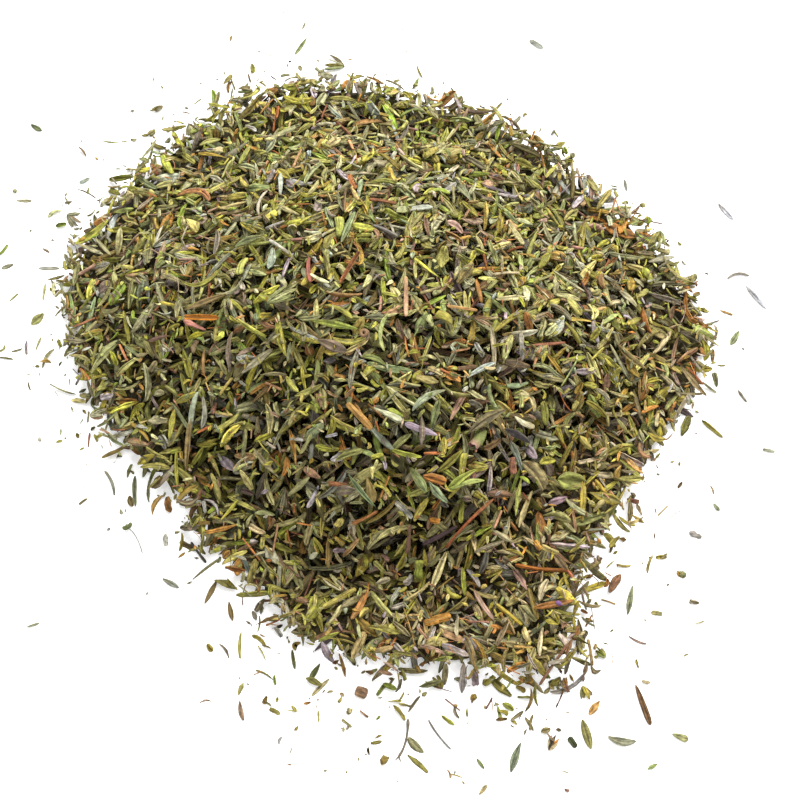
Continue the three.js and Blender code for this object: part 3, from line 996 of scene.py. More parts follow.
# %% Make the three finishes
leaf_finish = plant_finish(
    "dried thyme leaf, rubbed", (0.62, 1.30), (0.38, 1.50), 0.16, (0.50, 0.80), 0.17
)
twig_finish = plant_finish(
    "dried thyme twig, woody", (0.70, 1.22), (0.42, 1.45), 0.15, (0.50, 0.78), 0.25, rib_and_furrow_shade=False
)
petal_finish = plant_finish(
    "dried thyme petal, papery", (0.78, 1.15), (0.74, 1.20), 0.06, (0.55, 0.80), 0.20, rib_and_furrow_shade=False
)

# %% [markdown]
# ## Pieces that stand out
# Some pieces catch the eye: a yellow-green leaf, a lilac petal, bits of orange and red stalk,
# and the strays on the ground round the heap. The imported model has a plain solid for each. Its
# middle, direction, size, slope and bend are measured off that solid's own vertices, so the
# finished piece lies where the solid does.

# %% Measure a piece's solid
WIDTH_SHARE = 0.3  # of the length, round the middle, where the width is measured


def measure(name, towards):
    """Place, size, direction, slope and bends of a solid. The direction is the main axis of its
    vertices seen from above, turned to the side of towards, in degrees. The sideways place is
    fitted with c + bow m and the height with c + slope along + lean across + arch m, where m is
    1 - (2 along / length)^2."""
    points = mesh_points(frame["nodes"][name].data)
    mean = points[:, :2].mean(0)
    flat = points[:, :2] - mean
    axis = np.linalg.eigh(np.cov(flat.T))[1][:, 1]
    wanted = np.array([math.cos(math.radians(towards)), math.sin(math.radians(towards))])
    axis = axis if axis @ wanted >= 0 else -axis
    normal = np.array([-axis[1], axis[0]])
    along, across = flat @ axis, flat @ normal
    length, centre = np.ptp(along), (along.max() + along.min()) / 2
    along = along - centre
    middle = 1 - (2 * along / length) ** 2
    bend = np.stack([np.ones_like(along), middle], 1)
    offset, bow = np.linalg.lstsq(bend, across, rcond=None)[0]
    straight = across - bend @ [offset, bow]
    width = np.ptp(straight[np.abs(along) < WIDTH_SHARE * length])
    surface = np.stack([np.ones_like(along), along, straight, middle], 1)
    height, slope, lean, arch = np.linalg.lstsq(surface, points[:, 2], rcond=None)[0]
    x, y = mean + axis * centre + normal * offset
    return {
        "x": x, "y": y, "height": height, "length": length, "width": width, "bow": bow,
        "arch": arch, "yaw": math.atan2(axis[1], axis[0]), "pitch": math.atan(slope),
        "roll": math.atan(lean),
    }


OUTLINES = {
    # base starts wide at, tip narrows from, bluntness, thickness as a share of the width
    "lance": (0.42, 0.46, 0.75, 0.40),
    "needle": (0.30, 0.34, 0.55, 0.48),
    "tongue": (0.40, 0.16, 0.36, 0.42),
    "oval": (0.36, 0.44, 0.50, 0.34),
    "bar": (0.05, 0.06, 0.40, 0.52),
    "stalk": (0.03, 0.03, 0.30, 0.95),
}


def give_shape(lot, outlines, sections):
    """Gives every piece the outline and the section that its row names, and returns how thick
    it is, as a share of its width."""
    numbers = np.array([OUTLINES[outline] for outline in outlines])
    lot.update(zip(("wide_from", "narrow_from", "blunt"), numbers.T))
    lot["section"] = np.array([list(SECTIONS).index(section) for section in sections])
    lot["kind"] = np.zeros(len(numbers), int)
    return numbers[:, 3]


print("outlines:", ", ".join(OUTLINES))

# %% [markdown]
# The table gives each piece's outline, section and colour. The colours are those of the single
# pieces, a little darker than they look, because the soft light over a white floor lifts them.

# %% The pieces that stand out
LEAF_PIECES = {
    "bright_leaf": ("lance", "face up", "#7b8538"),
    "mauve_leaf": ("lance", "face up", "#67574a"),
    "lilac_petal": ("tongue", "flat", "#96858f"),
    "rust_leaf": ("tongue", "face up", "#94602c"),
    "pair_leaf_upper": ("needle", "folded", "#949c48"),
    "pair_leaf_lower": ("needle", "face up", "#8f9852"),
    "oval_leaf": ("oval", "back up", "#7b7d40"),
    "orange_leaf_front": ("bar", "flat", "#a0702f"),
    "long_brown_leaf": ("lance", "folded", "#8a764d"),
    "orange_leaf_left": ("bar", "folded", "#ac6a1c"),
    "brown_leaf_left": ("lance", "back up", "#7d6943"),
    "curled_leaf": ("needle", "folded", "#8d8940"),
    "brown_curl": ("bar", "face up", "#96663f"),
    "tan_stalk": ("stalk", "flat", "#a58164"),
    "ochre_stalk": ("stalk", "round", "#a07a48"),
    "orange_stalk": ("stalk", "flat", "#a57c40"),
    "red_stalk": ("stalk", "round", "#85492a"),
    "purple_stalk": ("stalk", "round", "#3b2b2b"),
    "rust_stalk": ("stalk", "round", "#8d5522"),
    "straw_stalk": ("stalk", "flat", "#aa9436"),
    "pale_stalk": ("stalk", "flat", "#9f9348"),
    "stray_needle_brown": ("tongue", "back up", "#7a5327"),
    "stray_oval_pale": ("tongue", "flat", "#9fa05f"),
    "stray_leaf_curved": ("oval", "back up", "#8b8c6c"),
    "stray_leaf_oval": ("oval", "face up", "#868036"),
    "stray_chip_dark": ("bar", "face up", "#3f4826"),
    "stray_leaf_front": ("lance", "face up", "#7a8462"),
    "stray_leaf_small": ("lance", "face up", "#75893f"),
    "stray_leaf_right": ("lance", "flat", "#8fa44e"),
    "stray_leaf_orange": ("lance", "back up", "#c38f34"),
    "stray_leaf_tall": ("lance", "face up", "#868a5e"),
    "stray_leaf_bottom": ("lance", "folded", "#63692f"),
    "stray_chip_brown": ("bar", "flat", "#84603f"),
    "stray_leaf_low_left": ("needle", "face up", "#5f632f"),
    "stray_leaf_lean": ("lance", "face up", "#7a6430"),
    "stray_leaf_upright": ("lance", "folded", "#806528"),
    "stray_leaf_pale_left": ("needle", "face up", "#878c78"),
    "stray_leaf_left": ("needle", "face up", "#777f58"),
    "stray_chip_left": ("bar", "flat", "#8a8d86"),
    "stray_needle_far_left": ("needle", "face up", "#94986f"),
    "stray_leaf_right_front": ("oval", "face up", "#8b9368"),
    "stray_chip_right": ("bar", "flat", "#9a9d80"),
    "stray_needle_right": ("needle", "flat", "#a3a5ac"),
    "stray_needle_back_right": ("needle", "flat", "#a0a1ab"),
    "stray_leaf_rim_right": ("oval", "face up", "#8f985e"),
    "stray_leaf_back": ("oval", "flat", "#8b8f84"),
    "stray_leaf_back_left": ("lance", "face up", "#8f9856"),
    "stray_leaf_far_left": ("oval", "face up", "#687545"),
    "stray_leaf_left_back": ("needle", "back up", "#8c9989"),
    "stray_chip_far_left": ("oval", "back up", "#8f8f45"),
    "stray_stalk_thin": ("stalk", "round", "#7b7872"),
    "stray_stalk_left": ("stalk", "round", "#84876f"),
    "stray_stalk_right": ("stalk", "round", "#8a7f70"),
}
BUILT_PIECES = {
    # node: the direction it faces, in degrees, and its thickness as a share of its width
    "flower_head": (0, 0.35),
    "pink_calyx": (233, 0.85),
    "sprig_tip": (15, 0.25),
    "stray_cup": (60, 0.90),
    "flower_stalk": (123, 0.55),
    "stray_stalk_bent": (76, 0.90),
}
SPRIG_ROW = list(BUILT_PIECES).index("sprig_tip")
SLOT_OF = {part["node"]: part["material_slot"] for part in frame["record"]["subparts"]}


def lay(names, towards, thickness):
    """Measures pieces, all in one lot. Seen from above a sloping piece is shorter by the cosine
    of its slope, which is undone here."""
    facts = [measure(name, direction) for name, direction in zip(names, towards)]
    lot = {key: np.array([fact[key] for fact in facts]) for key in facts[0]}
    shares = np.array([SHARES_OF_SIZE.get(name, (1, 1)) for name in names])
    lot["length"] = lot["length"] * shares[:, 0] / np.cos(lot["pitch"])
    lot["width"] = lot["span"] = lot["width"] * shares[:, 1] / np.cos(lot["roll"])
    lot["thick"] = lot["tall"] = lot["width"] * thickness
    lot["z"] = np.maximum(lot["height"] - lot["tall"] / 2, 0)
    lot["twist"] = rng.normal(0, 0.15, len(names))
    lot["kind"] = np.zeros(len(names), int)
    return lot


TOWARDS = {
    # piece: the direction that its tip points in, in degrees, where it isn't up the picture
    "long_brown_leaf": -90,
    "rust_leaf": -20,
    "stray_needle_brown": -90,
    "stray_oval_pale": -20,
}
SHARES_OF_SIZE = {
    # piece: length and width as shares of its solid's
    "mauve_leaf": (1.0, 1.15),
    "lilac_petal": (1.0, 0.85),
    "oval_leaf": (1.05, 1.25),
    "orange_leaf_left": (1.1, 1.0),
    "orange_stalk": (0.9, 1.0),
    "red_stalk": (1.0, 0.7),
    "purple_stalk": (1.0, 0.85),
    "brown_curl": (1.05, 1.3),
    "stray_needle_brown": (1.0, 0.85),
    "stray_leaf_curved": (1.0, 1.2),
    "stray_leaf_front": (1.0, 1.3),
    "stray_leaf_tall": (1.0, 1.3),
    "stray_needle_right": (1.0, 1.3),
    "stray_needle_back_right": (1.0, 1.3),
    "stray_chip_left": (0.5, 0.7),
    "stray_needle_far_left": (1.0, 0.7),
    "flower_head": (1.15, 1.15),
    "pink_calyx": (1.0, 0.85),
}
outlines, sections, _ = zip(*LEAF_PIECES.values())
shapes = {}
thickness = give_shape(shapes, outlines, sections)
standing = lay(list(LEAF_PIECES), [TOWARDS.get(name, 90) for name in LEAF_PIECES], thickness)
standing.update(shapes)
built = lay(list(BUILT_PIECES), *np.array(list(BUILT_PIECES.values())).T)
print("standing out:", len(LEAF_PIECES), "leaf and stalk pieces,", len(BUILT_PIECES), "built ones")

# %% [markdown]
# ## Room under the pieces
# The leaves of the heap were dropped before these pieces were laid. A leaf that passes over the
# middle of one is pressed down until it lies under it, and one that would sink too far is taken
# away. Then the height map is read again off the leaves and pieces themselves.

# %% Press the leaves down under the pieces
MIDDLE = slice(4, -4)  # of the places along a piece
MOST_SUNK = 2.5  # mm

cover = np.full(GRID_CELLS, np.inf)
for pieces in (standing, built):
    (i, j), top = tops(pieces)
    cover[i[:, MIDDLE], j[:, MIDDLE]] = top[:, MIDDLE]
cells, top = tops(heap)
sunk = np.maximum(top - cover[cells], 0).max((1, 2))
heap["z"] = np.maximum(heap["z"] - sunk, 0)
heap = pick(heap, sunk < MOST_SUNK)
ground = np.zeros(GRID_CELLS)
for pieces in (heap, standing, built):
    np.maximum.at(ground, *tops(pieces))
print("pressed down:", ((sunk > 0) & (sunk < MOST_SUNK)).sum(), "leaves, taken away:",
      (sunk >= MOST_SUNK).sum())

# %% [markdown]
# ## Leaves that are told apart
# On the heap's top many more leaves are easy to tell apart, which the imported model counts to
# the heap's own mass. Each is laid where it lies on the real heap, by the resting rule.

# %% Lay the leaves that are told apart
TOLD_SHADE = 0.80  # the table's colours are as seen in the light, which is brighter
TOLD_APART = {
    # x, y, length and width in mm, direction of the tip in degrees, outline, section, colour
    "salmon flower": (-32.5, -1.5, 4.5, 1.0, 155, "tongue", "flat", "#b57a6b"),
    "yellow bud": (-32.0, -3.5, 3.5, 0.9, 15, "lance", "face up", "#8f8a1e"),
    "red brown leaf": (-19.0, -4.5, 5.0, 1.1, 140, "lance", "face up", "#70492f"),
    "red stalk": (-12.0, 5.0, 6.5, 0.7, 95, "stalk", "flat", "#955443"),
    "bark strip": (-5.0, 3.5, 6.5, 0.8, 55, "bar", "folded", "#8d5937"),
    "orange strip": (-5.0, 24.0, 6.0, 0.9, 105, "bar", "folded", "#a5622c"),
    "cream chip": (-4.5, 21.0, 3.0, 0.9, 115, "bar", "flat", "#cdb070"),
    "yellow wedge": (-7.0, 13.5, 4.0, 1.7, 95, "bar", "flat", "#9ca04a"),
    "silver leaf": (-19.0, 8.5, 4.0, 1.5, 80, "oval", "back up", "#96a08c"),
    "plump leaf": (-23.0, 12.5, 6.0, 1.3, 10, "oval", "back up", "#949c6a"),
    "spear leaf": (-5.5, 13.0, 7.0, 1.4, -110, "lance", "face up", "#838f62"),
    "torn leaf": (-24.0, 7.5, 5.0, 1.5, 80, "bar", "flat", "#a0a04e"),
    "taupe leaf": (-29.5, 14.5, 7.0, 1.3, 90, "oval", "back up", "#7f7566"),
    "wine leaf": (-39.5, -2.0, 4.5, 1.4, 0, "lance", "face up", "#6b4a42"),
    "silver stalk": (-17.5, 10.5, 5.0, 0.6, -40, "stalk", "round", "#aaa797"),
    "grey stalk": (1.0, 12.0, 5.0, 0.7, -30, "stalk", "round", "#6f6a63"),
    "brown stalk": (0.5, 19.5, 5.0, 0.7, -10, "stalk", "flat", "#7e4f30"),
    "lime leaf": (14.5, -44.5, 5.0, 1.4, 95, "oval", "folded", "#96983c"),
    "broad lime leaf": (7.0, -42.5, 4.0, 1.8, 90, "bar", "flat", "#8b923a"),
    "dark spear": (-3.0, -32.0, 7.5, 1.0, 130, "lance", "folded", "#74825a"),
    "plum leaf": (-5.5, -32.0, 4.0, 1.5, 175, "tongue", "back up", "#6b5c50"),
    "pale petal": (-11.5, -40.5, 2.5, 1.2, 20, "lance", "flat", "#b2b394"),
    "copper leaf": (23.0, -26.5, 3.0, 1.2, 95, "bar", "face up", "#8e5c48"),
    "hooked leaf": (23.5, -24.5, 6.5, 1.0, 120, "tongue", "face up", "#828c7c"),
    "black leaf": (23.5, -22.0, 5.5, 1.3, 160, "lance", "face up", "#403a3c"),
    "great brown leaf": (18.5, -20.5, 8.0, 2.0, 35, "lance", "back up", "#716647"),
    "yellow leaf": (28.5, -17.5, 5.0, 1.6, 105, "tongue", "face up", "#90903f"),
    "low yellow leaf": (24.0, -31.0, 7.0, 1.0, 80, "lance", "folded", "#949746"),
    "dark stalk": (5.0, -38.5, 6.0, 0.7, 85, "stalk", "flat", "#70523f"),
    "spotted leaf": (9.5, -20.5, 5.0, 1.3, 75, "tongue", "face up", "#788052"),
    "crossing leaf": (7.0, -23.0, 6.0, 0.9, 90, "lance", "face up", "#75645c"),
    "wide leaf": (6.5, -30.0, 6.0, 1.7, 120, "lance", "flat", "#788150"),
    "sage leaf": (10.0, -32.0, 5.5, 1.4, 140, "lance", "back up", "#84906c"),
    "orange chip": (9.5, -35.5, 2.0, 0.9, -15, "bar", "flat", "#b8782e"),
    "ochre chip": (27.5, -38.5, 2.0, 0.9, -55, "bar", "flat", "#b8863a"),
    "mottled leaf": (-5.0, -26.5, 5.5, 1.5, 10, "tongue", "folded", "#8f8e52"),
    "copper stalk": (-7.0, -30.5, 3.5, 0.9, -10, "bar", "flat", "#84532f"),
    "violet petal": (31.0, -48.5, 1.3, 0.9, -30, "oval", "flat", "#84629a"),
    "round bit in front": (-11.4, -61.1, 3.2, 1.5, -25, "oval", "back up", "#6c6830"),
    "brown bit on the left": (-44.7, -28.5, 2.2, 1.3, -70, "oval", "folded", "#74663e"),
}
*numbers, outlines, sections, colours = zip(*TOLD_APART.values())
told = dict(zip(("x", "y", "length", "width", "yaw"), np.array(numbers)))
told["yaw"] = np.radians(told["yaw"])
told["thick"] = told["width"] * give_shape(told, outlines, sections)
told["bow"], told["arch"] = told["length"] * rng.normal(0, 0.03, (2, len(TOLD_APART)))
told["roll"], told["twist"] = rng.normal(0, 0.15, (2, len(TOLD_APART)))
told["tint"] = TOLD_SHADE * linear_rows(colours)
land(ground, told)
print("told apart:", len(TOLD_APART), "leaves, up to", round(told["z"].max(), 1), "mm high")

# %% [markdown]
# ## The heap's pieces
# A leaf that shows at the surface gets six rings of seven corners. One that is covered but near
# the surface can still be seen from the side through a gap, and gets four rings of five. Those
# deeper down only close the gaps, and get two rings of three. Whether a leaf shows is read off
# the height map: some of its top must lie at the map's own height.

# %% Sort the leaves by how much they show
DETAILS = (
    # the rings and corners that are kept, by how much a leaf shows
    (np.arange(6), np.arange(7)),
    (np.array([0, 2, 3, 5]), np.array([1, 2, 3, 4, 5])),
    (np.array([1, 4]), np.array([1, 3, 5])),
)
NEAR_SURFACE = 3.0  # mm
SMALL = 1.6  # mm
AT_TOP = 0.12  # mm below the height map that still counts as the top
LEAST_SHOWN = 0.03  # of a leaf
LIGHT_FADES = (0.3, 2.9)  # mm below the top, where the light starts and ends to fade
LIGHT_LOST = 0.62
GROUND_SHADE = 0.72  # light thrown up by the floor makes a piece on it look paler
BROWN_SIDE = (-50, 65)  # stalk ends and brown leaves roll farther, to the front right
BROWN_UP_TO = 20.0  # mm
BROWNEST = 1.3

cells, top = tops(heap)
covered_by = ground[cells] - top
exposed = (covered_by < AT_TOP).mean((1, 2))
depth = np.maximum(ground[cells_of(heap["x"], heap["y"])] - heap["z"] - heap["tall"], 0)
# painted shade: a leaf's colour darkens with its depth below the top
heap["light"] = 1 - LIGHT_LOST * np.interp(depth, LIGHT_FADES, (0, 1))
place = cells_of(heap["x"], heap["y"])
heap["light"][envelope[place] == 0] *= GROUND_SHADE
heap["brown"] = facing(*BROWN_SIDE)[place] * np.clip(BROWNEST - heap["z"] / BROWN_UP_TO, 0, 1)
rank = np.where(exposed > LEAST_SHOWN, 0, np.where(depth < NEAR_SURFACE, 1, 2))
rank[(rank == 0) & (heap["length"] < SMALL)] = 1
print("heap: leaves that show, near ones, deep ones:", np.bincount(rank))

# %% [markdown]
# Every mesh becomes one piece on the object's one body, and the solid of the packed model that
# it replaces is hidden. The leaves of the heap all replace the one solid of the heap. Batches keep
# each mesh small enough to bake.

# %% Make the heap's meshes
BATCHES = (1500, 3500, 9000)  # leaves in a batch, by how much they show


def add_piece(name, mesh, material, slot, *nodes):
    """Puts a finished mesh into the scene, on the object's one body."""
    mesh.materials.append(material)
    piece = bpy.data.objects.new(name, mesh)
    bpy.context.scene.collection.objects.link(piece)
    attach(piece, "root")
    if nodes:
        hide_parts(*nodes)
    return piece


def add_leaves(name, leaves, detail, finish, slot):
    """Cuts the leaves into batches and makes one piece of each."""
    rings, corners = DETAILS[detail]
    count = len(leaves["x"])
    batches = math.ceil(count / BATCHES[detail])
    for number in range(batches):
        mine = pick(leaves, np.arange(count) % batches == number)
        points = leaf_points(mine, rings, corners)
        paint = vertex_paint(mine, rings, corners)
        size = (len(rings), len(corners))
        mesh = painted_mesh(name, points, size, furrow_of(rings, corners), *paint)
        add_piece(f"{name}_{number + 1}", mesh, finish, slot, "thyme_heap")
    print(name + ":", count, "pieces in", batches, "batches")


woody = is_kind(heap, "stalk", "fibre")
told_stalk = np.array(["stalk" in name for name in TOLD_APART])
told_petal = np.array(["petal" in name or "flower" in name for name in TOLD_APART])
leaf, twig, petal = (
    (leaf_finish, "heap_leaf"), (twig_finish, "brown_stalk"), (petal_finish, "lilac_petal")
)
for name, leaves, chosen, detail, look in (
    ("heap_leaves", heap, (rank == 0) & ~woody, 0, leaf),
    ("heap_twigs", heap, (rank == 0) & woody, 0, twig),
    ("covered_leaves", heap, rank == 1, 1, leaf),
    ("deep_leaves", heap, rank == 2, 2, leaf),
    ("told_leaves", told, ~told_stalk & ~told_petal, 0, leaf),
    ("told_stalks", told, told_stalk, 0, twig),
    ("told_petals", told, told_petal, 0, petal),
):
    add_leaves(name, pick(leaves, chosen), detail, *look)

# %% [markdown]
# ## A dark sheet under the leaves
# A dark sheet lies under the lowest leaves inside the heap's outline: painted shade for the gaps
# between them, where the white floor would show through. It is a thin bumpy sheet, a height over
# each point of a fine lattice, with its edge drawn down into the floor.

# %% Make the dark sheet of painted shade
SHADE_SHEET_STEP = 3  # squares of the height map
SHADE_SHEET_HEIGHT = 0.55
# painted shade: the sheet's dark brown stands for the shade in the gaps between the lowest leaves
GAP_SHADE_COLOUR = linear("#453d26")
NO_VEIN = [0.5, 0.5, 0]  # across, along and paler: off the midrib and off the margin


def gap_shade_sheet_mesh():
    """A closed sheet inside the heap's outline: upper points at a random share of the sheet's
    height, drawn down at the rim, and lower ones on the floor."""
    inside = envelope[::SHADE_SHEET_STEP, ::SHADE_SHEET_STEP] > 0
    solid = inside[:-1, :-1] & inside[1:, :-1] & inside[:-1, 1:] & inside[1:, 1:]
    lines, columns = inside.shape
    x = GRID_LOW[0] + STEP * (SHADE_SHEET_STEP * np.arange(lines) + 0.5)
    y = GRID_LOW[1] + STEP * (SHADE_SHEET_STEP * np.arange(columns) + 0.5)
    rim = np.zeros(inside.shape, bool)
    for part in (rim[:-1, :-1], rim[1:, 1:], rim[1:, :-1], rim[:-1, 1:]):
        part |= ~solid
    height = np.where(rim, 2 * FLOOR_GAP, SHADE_SHEET_HEIGHT * rng.uniform(0.4, 1.0, inside.shape))
    flat = np.stack(np.meshgrid(x, y, indexing="ij"), -1).reshape(-1, 2)
    upper = np.column_stack([flat, height.ravel()])
    lower = np.column_stack([flat, np.full(len(flat), FLOOR_GAP)])
    i, j = np.nonzero(solid)
    corner = i * columns + j
    top_faces = np.stack([corner, corner + columns, corner + columns + 1, corner + 1], 1)
    sides = np.concatenate([top_faces[:, pair] for pair in ((0, 1), (1, 2), (2, 3), (3, 0))])
    key = np.sort(sides, 1) @ [len(flat), 1]
    _, first, uses = np.unique(key, return_index=True, return_counts=True)
    a, b = sides[first[uses == 1]].T
    below = len(flat)
    wall_faces = np.stack([b, a, a + below, b + below], 1)
    faces = np.concatenate([top_faces, top_faces[:, ::-1] + below, wall_faces])
    used, index = np.unique(faces, return_inverse=True)
    mesh = bpy.data.meshes.new("gap_shade_sheet")
    points = np.concatenate([upper, lower])[used]
    mesh.from_pydata((points * MM).tolist(), [], index.reshape(faces.shape).tolist())
    colours = np.ones((len(points), 4))
    # painted shade: a dark colour, a little lighter and darker from point to point
    colours[:, :3] = GAP_SHADE_COLOUR * rng.uniform(0.6, 1.5, (len(points), 1))
    add_attributes(mesh, colours, np.zeros((len(points), 3)) + NO_VEIN)
    layer = mesh.uv_layers.new(name="OFBake")
    from_above = (points[:, :2] - GRID_LOW) / (STEP * np.array(GRID_CELLS))
    layer.data.foreach_set("uv", from_above[index.ravel()].astype(np.float32).ravel())
    return mesh


gap_shade_sheet = add_piece("gap_shade_sheet", gap_shade_sheet_mesh(), leaf_finish, "heap_leaf", "thyme_heap")
print("dust:", len(gap_shade_sheet.data.polygons), "faces")

# %% [markdown]
# ## Finer leaves
# A single leaf that is looked at closely gets the same loft as the others, and a Subdivision
# Surface modifier rounds it. The furrow is held by an edge crease.

# %% Make the leaf and stalk pieces
LEAF_ROUNDING, PART_ROUNDING = 2, 1  # levels
FURROW_CREASE = 0.7
STRAY_GREYING = 0.2


def finish_of(name):
    """Twig for anything with a stalk, petal for the flower bits, leaf for the rest."""
    if "stalk" in name:
        return twig_finish
    return petal_finish if name in ("lilac_petal", "pink_calyx") else leaf_finish


def finish_piece(name, levels, *shape):
    """One piece from one or more parts with the same faces, in place of the node it is named
    after. The crease of an edge along the furrow is that of FURROW_CREASE, of others 0."""
    mesh = painted_mesh(name, *shape)
    creased = np.empty(len(mesh.edges), bool)
    mesh.edges.foreach_get("use_edge_sharp", creased)
    crease = mesh.attributes.new("crease_edge", "FLOAT", "EDGE")
    crease.data.foreach_set("value", (creased * FURROW_CREASE).astype(np.float32))
    piece = add_piece(name + "_piece", mesh, finish_of(name), SLOT_OF[name], name)
    rounding = piece.modifiers.new("rounding", "SUBSURF")
    rounding.levels = rounding.render_levels = levels


rings, corners = DETAILS[0]
leaf_size = (len(rings), len(corners))
leaf_furrow = furrow_of(rings, corners)
leaf_shape = leaf_points(standing, rings, corners)
leaf_tints = linear_rows(row[2] for row in LEAF_PIECES.values())
strays = np.array([name.startswith("stray") for name in LEAF_PIECES])
leaf_grey = leaf_tints.mean(1, keepdims=True)
greyed = (1 - STRAY_GREYING) * leaf_tints + STRAY_GREYING * leaf_grey
leaf_tints[strays] = greyed[strays] * GROUND_SHADE
standing["tint"] = leaf_tints
leaf_colours, leaf_veins = vertex_paint(standing, rings, corners)
for number, name in enumerate(LEAF_PIECES):
    one = slice(number, number + 1)
    paint = (leaf_colours[one], leaf_veins[one])
    finish_piece(name, LEAF_ROUNDING, leaf_shape[one], leaf_size, leaf_furrow, *paint)
print("leaf and stalk pieces:", len(LEAF_PIECES))

# %% [markdown]
# ## Calyx, cup, coil, sprig tip and headed stalks
# A few pieces are no plain leaf. Each is put together from rings of sixteen corners round a
# path: a calyx is a bell that turns back inside at its toothed mouth, a coil is a tube round a
# spiral, and a flower stalk is a thin tube with a lumpy head.

# %% Rings round a path
PART = (16, 16)
STEPS = np.linspace(0, 1, PART[0])
TURNS = 2 * math.pi * np.arange(PART[1]) / PART[1]
MOUTH = 0.62  # of a bell's steps lead out to its mouth, the others come back inside
TEETH = 5


def rings_round(path, side, lift, radius, reach=0.0):
    """Vertices of one part: the path's start, a ring path + radius (cos side + sin lift) for
    each step, moved along by reach, and the path's end."""
    circle = np.cos(TURNS)[:, None] * side[:, None] + np.sin(TURNS)[:, None] * lift[:, None]
    rings = path[:, None] + circle * np.broadcast_to(radius, PART)[..., None]
    rings[..., 0] += reach
    return np.concatenate([path[:1], rings.reshape(-1, 3), path[-1:]])


def tube(path, radius):
    """A tube round a bent path. Its side is the path's direction x up."""
    ahead = np.gradient(path, axis=0)
    side = np.cross(ahead, [0, 0, 1.0])
    side /= np.linalg.norm(side, axis=1, keepdims=True)
    lift = np.cross(side, ahead)
    lift /= np.linalg.norm(lift, axis=1, keepdims=True)
    return rings_round(path, side, lift, np.broadcast_to(radius, PART[0])[:, None])


def line(*points):
    """A smooth path through two or three points: a parabola where there are three."""
    start, end = np.array(points[0], float), np.array(points[-1], float)
    path = start + (end - start) * STEPS[:, None]
    if len(points) == 3:
        bulge = np.array(points[1], float) - (start + end) / 2
        path += 4 * bulge * (STEPS * (1 - STEPS))[:, None]
    return path


def bell(length, width):
    """A calyx or cup: the radius swells as a quarter sine to the belly and draws in a little to
    the mouth, whose five teeth stand out along the axis, and comes back inside thinner."""
    out = np.minimum(STEPS / MOUTH, 1)
    back = np.maximum(STEPS - MOUTH, 0) / (1 - MOUTH)
    belly = 0.22 + 0.78 * np.sin(np.minimum(out / 0.6, 1) * math.pi / 2)
    radius = width / 2 * belly * (1 - 0.10 * np.maximum(out - 0.6, 0) / 0.4) * (1 - 0.25 * back)
    radius = radius[:, None] * (1 + 0.05 * np.cos(2 * TEETH * TURNS))
    s = length * (-0.5 + 0.85 * (out - 0.7 * back))
    path = np.stack([s, 0 * s, 0 * s], 1)
    at_mouth = np.clip(1 - np.abs(STEPS - MOUTH) / 0.12, 0, 1)[:, None]
    teeth = 0.15 * length * np.abs(np.cos(TEETH / 2 * TURNS)) * at_mouth
    ones = np.ones((PART[0], 1))
    return rings_round(path, ones * [0, -1, 0], ones * [0, 0, 1], radius, teeth)


def lump(middle, size):
    """A flattened, uneven ball: the radius is the root of 1 - (2 step - 1)^2."""
    across = np.array([0, size[1] / 2, 0])
    path = line(middle - across, middle + across)
    radius = np.sqrt(np.maximum(1 - (2 * STEPS - 1) ** 2, 0.02))
    wide = size[0] / 2 * radius[:, None] * (1 + 0.12 * rng.normal(size=PART))
    ones = np.ones((PART[0], 1))
    return rings_round(path, ones * [-1, 0, 0], ones * [0, 0, size[2] / size[0]], wide)


print("a part:", PART[0], "rings of", PART[1], "corners")

# %% [markdown]
# Each recipe below gives a piece's parts in its own millimetres, x along it, y across and z
# up, with a colour for every part.

# %% The recipes


def coil(length, width):
    """A flower head: a thick tube round one and a quarter turns of a spiral, and its tail."""
    turn = 2 * math.pi * 1.25 * STEPS
    radius = length * (0.36 - 0.14 * STEPS)
    path = np.stack([radius * np.cos(turn), radius * np.sin(turn), 0.16 * length * STEPS], 1)
    tail_end = (0.15 * length, -0.62 * length, 0)
    tail = line((0.36 * length, 0, 0), (0.40 * length, -0.35 * length, 0), tail_end)
    return [(tube(path, 0.17 * length), "#7d6146"), (tube(tail, 0.10 * length), "#6d5a44")]


def calyx(length, width):
    """One bell of the whole length and width."""
    return [(bell(length, width), "#6f7440")]


def cup(length, width):
    """A smaller bell with a flap folded across its mouth, which thins towards its end."""
    flap = line((-0.3 * length, 0.2 * width, 0.1), (0.5 * length, -0.35 * width, 0.3))
    fold = tube(flap, 0.28 * width * (1.1 - STEPS))
    return [(bell(0.95 * length, 0.8 * width), "#857135"), (fold, "#5a4920")]


def headed_stalk(length, width):
    """A thin stem, bowed by 7 % of its length, with a lumpy head and three buds on top."""
    end, neck = -length / 2, length / 2 - 0.5 * width
    stem = line((end, 0, 0.1), (0, -0.07 * length, 0), (neck, 0, 0))
    head = lump(np.array([neck + 0.1, 0, 0]), (0.55 * width, 1.05 * width, 0.5 * width))
    bud = (0.45 * width, 0.38 * width, 0.45 * width)
    crown = [
        (lump(np.array([neck + 0.25, share * width, 0.15]), bud), "#616839")
        for share in (-0.40, 0.0, 0.38)
    ]
    return [(tube(stem, 0.15), "#898c84"), (head, "#555c33")] + crown


def forked_stalk(length, width):
    """A bowed stem with a knot at nine tenths of its length and two short prongs at its foot."""
    fork, top = -length / 2 + 0.9, length / 2
    stem = line((fork, 0, 0), (0, -0.07 * length, 0), (top, 0, 0))
    thickness = 0.20 + 0.16 * np.exp(-(((STEPS - 0.9) / 0.07) ** 2)) + 0.08 * np.exp(-STEPS / 0.1)
    prongs = [
        (tube(line((fork, 0, 0), (-length / 2, y, 0)), 0.16 - 0.08 * STEPS), "#6c6452")
        for y in (-0.55, 0.45)
    ]
    return [(tube(stem, thickness), "#635a49")] + prongs


